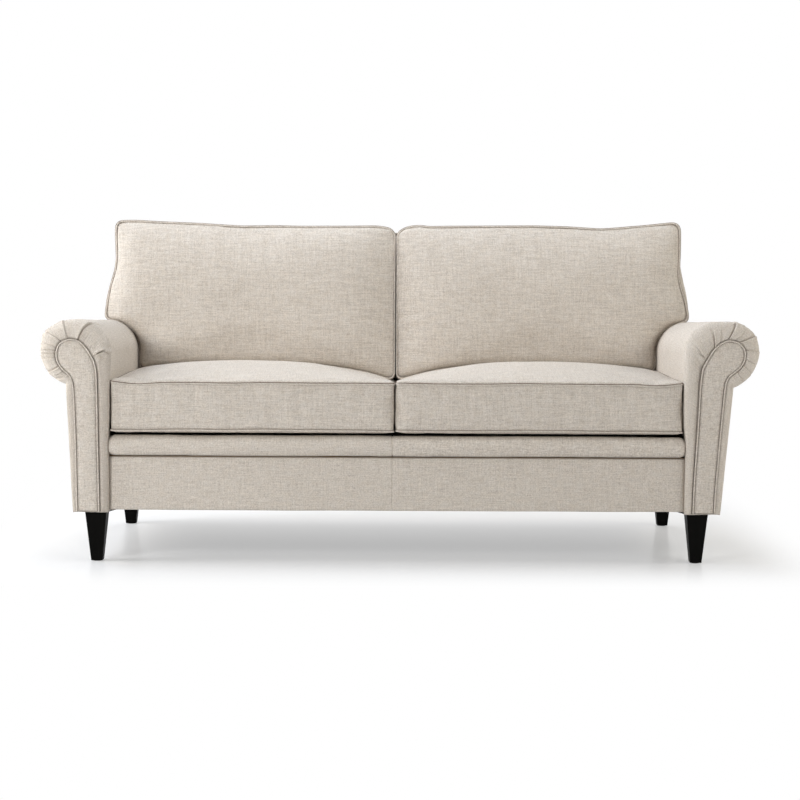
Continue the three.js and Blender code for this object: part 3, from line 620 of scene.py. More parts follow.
def pleated(ring, p, share, side, normals):
    """Moves a ring of the front border by the folds that cross it, and lets the cloth between them swell."""
    s = lengths(ring)
    move, crease = np.zeros(len(p)), np.zeros(len(p))
    for start, end, low, reach, height, lie in PLEATS[side]:
        envelope = smooth((share - low + 0.04) / 0.08) * (1 - smooth((share - reach + 0.3) / 0.3))
        if envelope <= 0:
            continue
        bend = 0.012 * math.sin(math.pi * min(1.0, share / reach))
        centre = np.interp(start + (end - start) * share + bend, p, s)
        d = (s - centre) * lie
        move += envelope * fold(d, height, 0.0045 + 0.0055 * share)
        # Each pleat's crease line is painted in shade
        dark = 0.8 * min(1.0, height / 0.0055) ** 1.5
        crease = np.maximum(crease, envelope * dark * bell(d + 0.0014, 0.0011))
    ring = ring + normals * move[:, None]
    for x0, v0, x1, v1, depth, slack in PUCKERS[side]:
        place = stacked(ring[:, 0], ring[:, 2]) - (x0, v0)
        along = np.array([x1 - x0, v1 - v0])
        length = np.linalg.norm(along)
        t = np.clip(place @ along / length**2, 0, 1)
        away = place - t[:, None] * along
        r = np.linalg.norm(away, axis=1)
        over = np.sign(away @ np.array([-along[1], along[0]]))
        ends = 1 - 0.6 * np.abs(2 * t - 1) ** 3
        dent = -1.15 * bell(r, 0.0016) + (0.75 - 0.25 * over) * bell(r - 0.0045, 0.0040)
        rays = 0.35 * np.cos(6 * np.arctan2(place[:, 1], place[:, 0] + 1e-9) + 0.6) * bell(r - 0.013, 0.008)
        below = v0 - ring[:, 2]
        hang = -bell(ring[:, 0] - (x1 + 0.006 - 0.06 * np.clip(below, 0, 1)), 0.0065)
        hang = hang + 0.8 * bell(ring[:, 0] - (x1 + 0.020 - 0.06 * np.clip(below, 0, 1)), 0.008)
        hang = hang * smooth(below / 0.012) * (1 - smooth(below / 0.11))
        ring = ring + normals * (depth * ends * (dent + rays) + slack * hang)[:, None]
        # Each pucker's dent is painted in shade
        crease = np.maximum(crease, ends * min(1.0, depth / 0.005) * bell(r, 0.0012))
    return ring, crease


def seam_shade(distance):
    """How dark the shade painted on the cloth lies at a distance from a seam's cord."""
    return 0.66 * (1 - smooth((distance - 0.0018) / 0.0013))


def arm_skin(side):
    """The border from the facing out to the arm's edge, then the arm as far as the inside back."""
    p = arm_parameters()
    keys = np.array(FACING_LINES[side], float)
    facing = curve_through(keys[:, 0], keys[:, 1:], np.clip(p, -1, 4))
    under = p >= 4
    t = (p[under] - 4)[:, None]
    facing[under] = keys[-1, 1:] * (1 - t) + keys[0, 1:] * t
    sx, sv, nx, nv = arm_section(p, side)
    tx, tv, _, _ = arm_section(p, side, OUTER_TUCK)
    # Where the arm is rolled, along its section, and not upright
    rolled = smooth((p + 0.25) / 0.4) * (1 - smooth((p - 2.75) / 0.3))
    rings, travel, creases = [], [], []

    def add(ring):
        travel.append(travel[-1] + np.linalg.norm(ring - rings[-1], axis=1).mean() if rings else 0.0)
        rings.append(ring)

    # The border: it rises beside the facing's cord and falls away to the arm's edge, later at the inner side
    inner, outer = 1 - smooth((p + 0.1) / 0.5), smooth((p - 3.0) / 0.15) * (p <= 4)
    begins, least, deep_y = 0.16 + 0.26 * inner, 0.45 - 0.13 * inner, -0.4390 - 0.0026 * inner
    for share in BORDER:
        out = np.sin(share * np.pi / 2) ** 1.12
        x = facing[:, 0] + (sx - facing[:, 0]) * out
        v = facing[:, 1] + (sv - facing[:, 1]) * out
        slow = np.sin(np.pi / 2 * min(1.0, out / 0.42)) ** 0.9
        rise = smooth((share + 0.02) / 0.15) * (1 - inner) + inner * slow
        fall = 1 - np.sqrt(np.clip(1 - (np.clip(out - begins, 0, 1) / (1 - begins)) ** 2.0, 0, 1))
        fall = fall * (least + (1 - least) * rolled)
        y = SEAM_Y + (deep_y - SEAM_Y) * rise + (BORDER_EDGE_Y - deep_y) * fall
        ring = pitched(x, y + (1 - rolled) * 0.001, v)
        lean = unit(stacked(nx * out, -(1 - 0.85 * out), nv * out))
        ring, crease = pleated(ring, p, share, side, lean)
        # Painted shade beside the seat, on the outer side, at the pleats and along the facing's cord
        beside = BORDER_SHADE[side][0] * inner * smooth(share / 0.05)
        beyond = BORDER_SHADE[side][1] * outer * smooth(share / 0.4) * (1 - smooth((share - 0.75) / 0.25))
        seam = np.hypot(x - facing[:, 0], v - facing[:, 1])
        creases.append(np.maximum(np.maximum(crease, beside + beyond), seam_shade(seam)))
        puff = 0.0012 * noise(stacked(p * 3.1, share * 2, 0), 1.0, 5)
        puff = puff * math.sin(math.pi * share)
        add(ring + lean * puff[:, None])

    # The arm itself, with the pleats that reach past its edge and the drag lines of the puckers
    y0 = rings[-1][:, 1]
    gentle = stacked(nx, 0, nv)
    end = on_inside_back(tv) - REAR_TURN * rolled
    for share in np.concatenate([[0.006, 0.012, 0.02, 0.03], np.linspace(0.045, 1.0, 30)]):
        ring = pitched(sx + (tx - sx) * smooth(share / 0.012), y0 + (end - y0) * share, tv)
        wave = 0.0011 * noise(ring, (0.12, 0.16, 0.10), 21 + ORDER[side])
        wave = wave + 0.0005 * noise(ring, (0.05, 0.09, 0.05), 23)
        fade = 0.0
        for start, end_p, _, reach, height, lie in PLEATS[side]:
            past = 0.45 * max(0.0, reach - 0.7)
            if share < past:
                s = lengths(ring)
                d = (s - np.interp(end_p + (end_p - start) * 1.2 * share, p, s)) * lie
                fade = fade + fold(d, height * 0.75, 0.011) * (1 - smooth(share / past))
        for _, _, _, v, depth, _ in PUCKERS[side]:
            along = np.clip(ring[:, 1] + 0.41, 0, 1)
            near = ((p > -0.5) & (p < 0.9)) * (1 - smooth(along / 0.13))
            for rise, strength in ((0.10, 0.8), (-0.16, 0.6), (0.42, 0.5)):
                d = ring[:, 2] - (v + rise * along)
                fade = fade - near * depth * 0.5 * strength * bell(d, 0.004 + 0.05 * along)
        add(ring + gentle * (wave * np.clip(rolled + 0.3, 0, 1) + fade)[:, None])

    # The rear end, turned in and drawn together along the arm's spine on the inside back
    last, length = rings[-1], travel[-1]
    for angle in np.linspace(0, np.pi / 2, 6)[1:]:
        ring = last - gentle * (REAR_TURN * (1 - math.cos(angle)) * rolled)[:, None]
        ring[:, 1] = last[:, 1] + REAR_TURN * math.sin(angle) * rolled
        rings.append(ring)
        travel.append(length + 0.016 * angle)
    in_roll = (p > 0) & (p < 3)
    spine_x = np.where(in_roll, ROLL[0] - 0.01, 0.5 * (ARM_INNER + FOOT_X))
    spine_v = np.where(in_roll, ROLL[1], np.clip(tv, 0.15, ROLL[1] - 0.03))
    last = rings[-1]
    for share in (0.12, 0.3, 0.5, 0.7, 0.86):
        x = last[:, 0] + (spine_x - last[:, 0]) * share
        v = last[:, 2] + ARM_SLOPE * (last[:, 1] - FRONT)
        v = v + (spine_v - v) * share
        rings.append(pitched(x, on_inside_back(v) + 0.0015 * math.sin(math.pi * share), v))
        travel.append(length + 0.02 + 0.08 * share)
    weave = stacked(np.array(travel)[:, None], lengths(rings[len(BORDER) + 6]), 0.2)
    creases += [np.zeros(len(p))] * (len(rings) - len(creases))
    obj = loft(f"arm_skin_{side}", mirror_if(rings, side), weave, crease=np.array(creases))
    stands_for(obj, 0.9, f"arm_cover_{side}")


def facing_line(side, count):
    keys = np.array(FACING_LINES[side], float)
    return curve_through(keys[:, 0], keys[:, 1:], np.linspace(-1, 4, count))


def facing_pad(side):
    """The keyhole facing: rows across it from its outer line to its inner line, padded a little."""
    line = facing_line(side, 900)
    top = int(np.argmax(line[:, 1]))
    inner, outer = line[: top + 1], line[top:][::-1]
    low, high = line[0, 1] + 0.0006, line[top, 1] - 0.0004
    rows = high - (high - low) * (1 - np.cos(np.linspace(0, np.pi / 2, 90))) ** 0.9
    rows = np.concatenate([rows[:40], np.linspace(rows[40], low, 70)])
    order = np.argsort(outer[:, 1])
    xi = np.interp(rows, inner[:, 1], inner[:, 0])[:, None]
    xo = np.interp(rows, outer[order, 1], outer[order, 0])[:, None]
    share = (1 - np.cos(np.linspace(0, np.pi, 27))) / 2
    x = xi + (xo - xi) * share
    v = rows[:, None]
    edge = 0.5 * (xo - xi) * (1 - np.abs(2 * share - 1))
    edge = np.minimum(edge, np.minimum(high - v, 0.02 + (v - low)))
    place = stacked(x, FACING_Y, v)
    place[:, :, 1] -= 0.0078 * (1 - np.exp(-edge / 0.0048)) + 0.0006 * noise(place, (0.05, 1, 0.06), 31)
    weave = stacked(x, v, 0.55)
    # The facing's edges beside the cord are painted in shade
    obj = plate(f"facing_{side}", mirror_if(place, side), (0, 0.016, 0), weave, seam_shade(edge))
    stands_for(obj, 0.8, f"arm_facing_{side}")


def facing_welt(side):
    """The cord along the keyhole's line, between the facing's edge and the border's."""
    line = rounded(resampled(facing_line(side, 420), 0.003), 3)
    x, v = line.T
    path = mirror_if(stacked(x, CORD_Y - 0.0004 * noise(stacked(x, v, 0), 0.03, 41), v), side)
    # One flank of the cord is painted in shade
    cords(f"facing_welt_{side}", [path], 0.0021, sides=12, seed=3, flank=0.6)


def outer_panel(side):
    """The outer arm under the roll, pulled over the frame, with a turned edge at its foot."""
    up = np.concatenate([np.linspace(0, 0.04, 6), np.linspace(0.07, 0.95, 34), np.linspace(0.97, 1, 4)])
    along = np.concatenate([np.linspace(0, 0.02, 5), np.linspace(0.04, 1.0, 66)])
    lip_x, lip_v = lip_of(side)
    high, front = lip_v + 0.004 - FLOOR_OF_FRAME, -0.4075
    grid, weave = [], []
    for u in up:
        v = FLOOR_OF_FRAME + high * u
        y = front + (on_inside_back(np.array(v)) - 0.0004 - front) * along
        # The foot stays level with the frame's underside
        z = v - ARM_SLOPE * (y - FRONT) * u
        place = stacked(FOOT_X + (lip_x - FOOT_X) * u, y, z)
        edge = np.minimum(min(u, 1 - u) * 0.335, np.minimum(along, 1 - along) * 0.7)
        place[:, 0] += -0.0022 * np.exp(-edge / 0.006) + 0.0012 * noise(place, (1, 0.11, 0.13), 51)
        grid.append(place)
        weave.append(stacked(y, z, 0.8))
    obj = plate(f"outer_arm_{side}", mirror_if(grid, side), (-0.0052 * SIDES[side], 0, 0), weave)
    stands_for(obj, 0.9, f"arm_outer_panel_{side}")


# Seat front
SEAM_X = -0.012
SEAT_FRONT_HALF = 0.7553
RAIL_BOTTOM = 0.139
# The threads show a little larger on the front than elsewhere
FRONT_WEAVE = 0.82


def across_samples(half, spacing):
    """Places across the front, close together at the seam and the ends."""
    near = np.geomspace(0.0003, 0.02, 9)
    wide = np.linspace(-half, half, int(2 * half / spacing))
    ends = half - np.geomspace(0.0004, 0.02, 9)
    x = np.sort(np.concatenate([wide, SEAM_X - near, [SEAM_X], SEAM_X + near, ends, -ends]))
    return x[np.concatenate([[True], np.diff(x) > 0.00025])]


def across_loft(name, shape, marks, clear_z, deep_z, dark):
    """A loft across the seat's front, whose ring at each place shape gives, with shade painted dark from
    clear_z to deep_z.
    """
    rings, weave = [], []
    for x in across_samples(SEAT_FRONT_HALF, 0.0075):
        ring = shape(x)
        s = lengths(ring)
        rings.append(ring)
        weave.append(stacked(FRONT_WEAVE * x, FRONT_WEAVE * s, marks[int(x >= SEAM_X)]))
    heights = np.array(rings)[:, :, 2]
    return loft(name, rings, weave, crease=dark * smooth((heights - clear_z) / (deep_z - clear_z)))


def nosing():
    centre_z, high, front_y, back_y = 0.3072, 0.0272, -0.4372, -0.3975
    angle = np.linspace(0, np.pi, 30)

    def shape(x):
        end = min(1.0, (SEAT_FRONT_HALF - abs(x)) / 0.020)
        share = 0.62 + 0.38 * math.sqrt(max(0.0, 1 - (1 - end) ** 2))
        seam = 0.0020 * math.exp(-(((x - SEAM_X) / 0.0012) ** 2))
        y = back_y - (back_y - front_y) * np.sin(angle) ** 0.72 * (0.35 + 0.65 * share)
        z = centre_z + high * np.cos(angle) * (0.25 + 0.75 * share)
        ring = stacked(x, y, z)
        out = stacked(0, -np.sin(angle), np.cos(angle))
        swell = 0.0014 * noise(ring, (0.13, 0.05, 0.04), 61) + 0.0007 * noise(ring, (0.035, 0.03, 0.03), 62)
        ring = ring + out * (swell * share - seam)[:, None]
        rear = stacked(x, back_y + 0.0008, np.linspace(z[-1], z[0], 8)[1:-1])
        return np.vstack([ring, rear])

    # The nosing's underside above the band is painted in shade
    stands_for(across_loft("nosing", shape, (1.3, 1.75), 0.2850, 0.2812, 0.45), 0.85, "front_nosing")


def band():
    """The cloth over the front rail, rounded at its foot and turned in under the rail."""
    face, back, top, foot = -0.4200, -0.4128, 0.2793, RAIL_BOTTOM - 0.0012
    under_edge, bend = -0.4000, 0.0062
    profile = [(back - 0.0012, top - 0.0004), (back - 0.0030, top), (face + 0.0014, top - 0.0012)]
    profile += [(face + 0.0004, top - 0.0040), (face, top - 0.0090)]
    profile += [(face, z) for z in np.linspace(top - 0.018, foot + 0.014, 17)]
    for a in np.radians(np.linspace(0, 90, 8)):
        profile.append((face + bend * (1 - math.cos(a)), foot + bend * (1 - math.sin(a))))
    profile += [(y, foot) for y in np.linspace(face + 0.0095, under_edge, 5)]
    profile += [(under_edge, foot + 0.0009), (-0.4080, foot + 0.0009), (back - 0.0022, foot + 0.0010)]
    profile += [(back - 0.0016, z) for z in np.linspace(foot + 0.006, top - 0.006, 8)]
    y, z = np.array(profile).T

    def shape(x):
        ring = stacked(x, y, z)
        end = 0.0045 * math.exp(-(SEAT_FRONT_HALF - abs(x)) / 0.004)
        seam = 0.0016 * math.exp(-(((x - SEAM_X) / 0.0011) ** 2))
        swell = 0.0012 * noise(ring, (0.16, 1, 0.07), 71) + 0.0005 * noise(ring, (0.04, 1, 0.03), 72)
        ring[:, 1] += smooth((back - 0.003 - y) / 0.003) * (end + seam - swell)
        sag = 0.0007 * (1 + noise(np.array([x, 0.0, 0.0]), (0.14, 1, 1), 73))
        ring[:, 2] -= np.exp(-np.clip(z - foot, 0, 1) / 0.012) * sag * smooth((-0.404 - y) / 0.008)
        return ring

    # The band's top under the nosing is painted in shade
    stands_for(across_loft("band", shape, (2.1, 2.6), top - 0.0045, top - 0.0012, 0.6), 0.85, "front_band")


for side in SIDES:
    arm_skin(side)
    facing_pad(side)
    facing_welt(side)
    outer_panel(side)
nosing()
band()


# Seat cushions
# The cushions' ends: in the photograph the whole seat lies a little to the left between its arms
SEAT_ENDS = {"left": (0.0068, 0.7515), "right": (-0.0038, 0.7494)}
SEAT_Y0, SEAT_BOTTOM, SEAT_TOP = -0.4280, 0.3413, 0.4706
SEAT_CROWN = 0.036
SEAT_BACK = 0.2870
# The width beside a seam in which cloth is held, and the frames for which it moves
PIN_WIDTH, CLOTH_FRAMES = 0.016, 18


def rounded_rectangle(x0, x1, y0, y1, radius, spacing):
    points = []
    for cx, cy, start in (
        (x0 + radius, y0 + radius, 180), (x1 - radius, y0 + radius, 270),
        (x1 - radius, y1 - radius, 0), (x0 + radius, y1 - radius, 90),
    ):
        for a in np.radians(np.linspace(start, start + 90, 9)):
            points.append((cx + radius * math.cos(a), cy + radius * math.sin(a)))
    return resampled(points, spacing, closed=True)


def seat_sag(x, y, side):
    """How far the top gives way beside the other cushion, behind its front corner."""
    return 0.030 * np.exp(-np.clip(x - SEAT_ENDS[side][0], 0, 1) / 0.10) * smooth((y + 0.415) / 0.32)


def seat_crown(x, y, side):
    x0, x1 = SEAT_ENDS[side]
    middle = 0.5 * (x0 + x1)
    across = np.abs(x - middle) / (x1 - middle)
    peak = SEAT_Y0 + 0.458 * (SEAT_BACK - SEAT_Y0)
    ahead = np.clip((peak - y) / (peak - SEAT_Y0), 0, 1)
    behind = np.clip((y - peak) / (SEAT_BACK - peak), 0, 1)
    along = np.clip(1 - ahead**2.2 - behind**1.25, 0, 1)
    return SEAT_CROWN * along * np.clip(1 - across**2.6, 0, 1) - seat_sag(x, y, side)


def seat_pitched(points):
    out = np.array(points, float)
    out[..., 2] -= SEAT_SLOPE * (out[..., 1] - FRONT)
    return out


def seat_edge(side, top):
    """The line of a seat cushion's top or bottom welt, in the pitched frame."""
    x0, x1 = SEAT_ENDS[side]
    line = rounded_rectangle(x0 + 0.001, x1 - 0.001, SEAT_Y0 + 0.001, SEAT_BACK - 0.002, 0.013, 0.004)
    x, y = line.T
    wave = noise(stacked(x, y, 0), (0.11, 0.2, 1), 81 + ORDER[side])
    z = (SEAT_TOP if top else SEAT_BOTTOM + 0.0075) + 0.0011 * wave
    if top:
        # The corner at the arm stands up and the edge sags a little beside it
        z = z + 0.0032 * bell(x - x1, 0.024) - 0.0030 * bell(x - x1 + 0.075, 0.035) - seat_sag(x, y, side)
    else:
        mid = 0.5 * (x0 + x1)
        z = z + 0.0012 * (1 - ((x - mid) / (x1 - mid)) ** 2)
    return stacked(x, y, z)


def points_of(obj):
    return values(obj.data.vertices, "co")


def normals_of(obj):
    return values(obj.data.vertices, "normal")


def put_points(obj, points):
    obj.data.vertices.foreach_set("co", np.asarray(points, float).ravel())
    obj.data.update()


def simulated(obj, pin_lines, pressure, shrink, cap):
    """Cloth on a padded piece: its seams are held, and what lies between them swells and puckers."""
    start = points_of(obj)
    lines = np.vstack(pin_lines)
    tree = KDTree(len(lines))
    for i, q in enumerate(lines):
        tree.insert(Vector(q), i)
    tree.balance()
    d = np.array([tree.find(Vector(q))[2] for q in start])
    group = obj.vertex_groups.new(name="pin")
    weight = np.clip(1 - (d - PIN_WIDTH * 0.4) / (PIN_WIDTH * 0.6), 0, 1)
    for i in np.nonzero(weight > 0)[0]:
        group.add([int(i)], float(weight[i]), "REPLACE")
    cloth = obj.modifiers.new("Cloth", "CLOTH")
    settings = {
        "quality": 4, "mass": 0.25, "tension_stiffness": 14, "compression_stiffness": 14,
        "shear_stiffness": 5, "bending_stiffness": 0.35, "use_pressure": True, "shrink_min": shrink,
        "uniform_pressure_force": pressure, "vertex_group_mass": "pin", "pin_stiffness": 1.0,
    }
    for key, value in settings.items():
        setattr(cloth.settings, key, value)
    cloth.settings.effector_weights.gravity = 0
    cloth.collision_settings.use_collision = False
    cloth.point_cache.frame_start = 1
    cloth.point_cache.frame_end = CLOTH_FRAMES
    for f in range(1, CLOTH_FRAMES + 1):
        bpy.context.scene.frame_set(f)
    made = obj.evaluated_get(bpy.context.evaluated_depsgraph_get())
    move = values(made.to_mesh().vertices, "co") - start
    made.to_mesh_clear()
    obj.modifiers.remove(cloth)
    obj.vertex_groups.remove(group)
    bpy.context.scene.frame_set(1)
    far = np.linalg.norm(move, axis=1)
    put_points(obj, start + move * (cap * np.tanh(far / cap) / np.maximum(far, 1e-9))[:, None])


def applied(obj, kind, **settings):
    """Applies one modifier."""
    mod = obj.modifiers.new(kind, kind)
    for key, value in settings.items():
        setattr(mod, key, value)
    old = obj.data
    made = bpy.data.meshes.new_from_object(obj.evaluated_get(bpy.context.evaluated_depsgraph_get()))
    obj.modifiers.remove(mod)
    obj.data = made
    bpy.data.meshes.remove(old)


def remeshed(name, rings, voxel):
    """A closed loft turned into even quads."""
    rings = np.asarray(rings, float)
    mesh = bpy.data.meshes.new(name)
    mesh.from_pydata([tuple(q) for q in rings.reshape(-1, 3)], [], tube_faces(*rings.shape[:2]))
    obj = face_out(placed(name, mesh))
    applied(obj, "REMESH", mode="VOXEL", voxel_size=voxel)
    obj.data.name = name
    return obj


def finish_cushion(obj, points, side, body, mark, fill):
    put_points(obj, mirror_if(points, side))
    face_out(obj)
    obj.data.shade_smooth()
    obj.data.materials.append(LINEN)
    box_weave(obj, mark + ORDER[side])
    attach(obj, body)
    stands_for(obj, fill, body)


def cushion_welt(pad, name, path, body, **more):
    welt = cords(name, [path], 0.0022, closed=True, body=body, **more)
    welt.parent = pad
    welt.matrix_parent_inverse = pad.matrix_world.inverted()


def seat_cushion(side):
    body = f"seat_cushion_{side}"
    x0, x1 = SEAT_ENDS[side]
    outline = rounded_rectangle(x0, x1, SEAT_Y0, SEAT_BACK, 0.014, 0.006)
    centre = np.array([0.5 * (x0 + x1), 0.5 * (SEAT_Y0 + SEAT_BACK)])
    top_line, low_line = seat_edge(side, True), seat_edge(side, False)

    def level(line):
        """The welt's height at each point of the outline."""
        d = ((outline[:, None, :] - line[None, :, :2]) ** 2).sum(2)
        return line[np.argmin(d, 1), 2]

    def ring(z, inset):
        x = np.clip(outline[:, 0], x0 + inset, x1 - inset)
        y = np.clip(outline[:, 1], SEAT_Y0 + inset, SEAT_BACK - inset)
        return stacked(x, y, z)

    top, low = level(top_line), level(low_line)
    floor = SEAT_BOTTOM + 0.0006
    shares = (0.3, 0.6, 0.85, 0.95)
    rings = [stacked(*(centre + (outline - centre) * share).T, floor) for share in shares]
    rings.append(ring(floor + 0.001, 0.006))
    for t in np.linspace(0, 1, 12):
        rings.append(ring(low + (top - low) * t, 0.0010 + 0.0028 * math.sin(math.pi * t) ** 0.8))
    rings += [ring(top + 0.0042, 0.0), ring(top + 0.0085, 0.0032)]
    own = top + seat_sag(outline[:, 0], outline[:, 1], side)
    for share in (0.97, 0.94, 0.90, 0.86, 0.78, 0.68, 0.56, 0.42, 0.28, 0.14):
        x, y = (centre + (outline - centre) * share).T
        z = own * share + SEAT_TOP * (1 - share) + seat_crown(x, y, side)
        z = z + 0.0028 * (1 - share**14) * (1 - bell(share - 0.5, 0.6))
        z = z + 0.0095 * bell(1 - share, 0.12) * (0.15 + 0.85 * (1 - smooth((y - SEAT_Y0 - 0.02) / 0.10)))
        rings.append(stacked(x, y, z))
    obj = remeshed(f"seat_pad_{side}", rings, 0.0092)
    simulated(obj, [top_line, low_line], 3.0, -0.012, 0.009)
    p = points_of(obj)
    p[:, 0] = np.clip(p[:, 0], x0, x1)
    p[:, 1] = np.minimum(p[:, 1], SEAT_BACK)
    p[:, 2] = np.maximum(p[:, 2], SEAT_BOTTOM + 0.0004)
    put_points(obj, p)
    applied(obj, "SUBSURF", levels=1, render_levels=1)
    p, no = points_of(obj), normals_of(obj)
    seed = 91 + 4 * ORDER[side]
    # Puckers that hang from the welts, and slow unevenness of the filling
    front = smooth((-no[:, 1] - 0.5) / 0.3)
    down = (SEAT_TOP - p[:, 2]) / 0.12
    pull = noise(stacked(p[:, 0] + 0.12 * p[:, 2], 0, 0.3 * p[:, 2]), (0.013, 1, 0.1), seed)
    pull = np.clip(pull - 0.15, 0, 1) * (0.5 + 0.5 * noise(p, (0.12, 0.12, 1), seed + 1))
    p = p + no * (front * pull * 0.0024 * smooth(down / 0.12) * (1 - smooth((down - 0.15) / 0.55)))[:, None]
    slow = (0.0010 * noise(p, (0.10, 0.10, 0.06), seed + 2))[:, None]
    p = p + no * slow * smooth((no[:, 2] + 0.5) / 0.4)[:, None]
    finish_cushion(obj, seat_pitched(p), side, body, 3.0, 0.85)
    for name, line, lift, dark in (("top", top_line, 0.0009, 1.0), ("low", low_line, -0.0006, 0.6)):
        tangent = np.roll(line, -1, 0) - np.roll(line, 1, 0)
        across = unit(stacked(tangent[:, 1], -tangent[:, 0], 0))
        across *= np.sign((across[:, :2] * (line[:, :2] - centre)).sum(1))[:, None]

        def beside(out, up):
            path = line + across * out + (0, 0, up)
            path[:, 0] = np.clip(path[:, 0], x0 + 0.0016, x1 - 0.0016)
            return mirror_if(seat_pitched(path), side)

        cushion_welt(
            obj, f"seat_welt_{name}_{side}", beside(0.0006, lift), body, up=mirror_if(across, side), seed=7,
            stitches=[(beside(0.0003, lift + 0.0030), 0.0012, dark)],
        )


# Back cushions
FACE_Z, BOXING, DEPTH = 0.4683, 0.140, 0.1796
BACK_CROWN = 0.045
FACE_Y = BACK_TOP_Y - (BACK_TOP - FACE_Z) * BACK_SLOPE - 0.1799
TOP_LINES = {
    "left": [(0.0, 0.863), (0.022, 0.875), (0.06, 0.8809), (0.134, 0.8797), (0.283, 0.8787), (0.357, 0.880),
             (0.453, 0.8785), (0.58, 0.8860), (0.70, 0.8905), (0.76, 0.8940), (0.803, 0.8950),
             (0.828, 0.891)],
    "right": [(0.0, 0.863), (0.020, 0.876), (0.04, 0.8815), (0.068, 0.883), (0.088, 0.8795), (0.168, 0.881),
              (0.30, 0.882), (0.40, 0.883), (0.494, 0.8805), (0.588, 0.8745), (0.634, 0.878), (0.72, 0.8855),
              (0.80, 0.8945), (0.828, 0.892)],
}


def back_place(x, depth, v):
    """From the cushion's own depth and height to the row frame."""
    lean = (v + FRONT * ARM_SLOPE - FACE_Z) * BACK_SLOPE
    y = (FACE_Y + depth + lean) / (1 + ARM_SLOPE * BACK_SLOPE)
    return pitched(x, y, v)


# The outer side of each cushion's front, from the arm up, and how far its boxing swells past it
OUTER_LINES = {
    "left": [(0.645, 0.8440, 0.006), (0.66, 0.8440, 0.010), (0.70, 0.8385, 0.012), (0.733, 0.8325, 0.011),
             (0.765, 0.8235, 0.007), (0.79, 0.8170, 0.002), (0.82, 0.8140, 0.0), (0.92, 0.8185, 0.0)],
    "right": [(0.645, 0.8400, 0.004), (0.66, 0.8400, 0.009), (0.70, 0.8330, 0.013), (0.735, 0.8215, 0.019),
              (0.765, 0.8140, 0.019), (0.80, 0.8150, 0.011), (0.85, 0.8175, 0.004), (0.92, 0.8185, 0.0)],
}
BACK_ENDS = {"left": 0.0076, "right": -0.0032}


def seat_surface(x, side):
    """The height of the seat cushion's top under the back cushion's face, in the back cushion's own frame."""
    y = FACE_Y
    z = SEAT_TOP + 0.0028 + seat_crown(x, np.full_like(x, y), side) - SEAT_SLOPE * (y - FRONT)
    return z + (y - FRONT) * ARM_SLOPE


def back_outline(side):
    """The cushion's outline seen from the front, closed and evenly spaced."""
    x0 = BACK_ENDS[side]
    below = np.linspace(x0 + 0.014, 0.733, 34)
    foot = seat_surface(below, side) + 0.0008
    bottom = float(foot.min())
    drop = (FACE_Y - FRONT) * ARM_SLOPE + 0.006
    points = [(x0, foot[0] + 0.016), (x0 + 0.004, foot[0] + 0.005)]
    points += list(zip(below, foot))
    points += [(0.7415, foot[-1] + 0.003), (0.7438, foot[-1] + 0.013)]
    points += [(0.7440, v) for v in np.linspace(foot[-1] + 0.03, ROLL[1] - 0.01, 5)]
    for degrees in np.linspace(176, 92, 16):
        radius = ROLL_RADIUS + 0.0010 + 0.0030 * float(smooth((degrees - 100) / 50))
        a = math.radians(degrees)
        points.append((INNER_X + radius * math.cos(a), ROLL[1] + radius * math.sin(a)))
    outer = OUTER_LINES[side]
    points += [(outer[0][1] - 0.007, outer[0][0] - 0.0025)]
    points += [(x, v) for v, x, _ in outer[:-1]]
    line = TOP_LINES[side]
    top_x = outer[-1][1]
    corner = line[-2][1] + drop
    points += [(top_x, corner - 0.024), (top_x - 0.001, corner - 0.011), (top_x - 0.008, corner - 0.002)]
    points += [(x, z + drop) for x, z in reversed(line) if 0.004 < x < top_x - 0.018]
    points += [(x0 + 0.006, line[0][1] + drop + 0.002), (x0 + 0.001, line[0][1] + drop - 0.006)]
    points += [(x0, line[0][1] + drop - 0.02)]
    return rounded(resampled(points, 0.005, closed=True), 4, closed=True), bottom


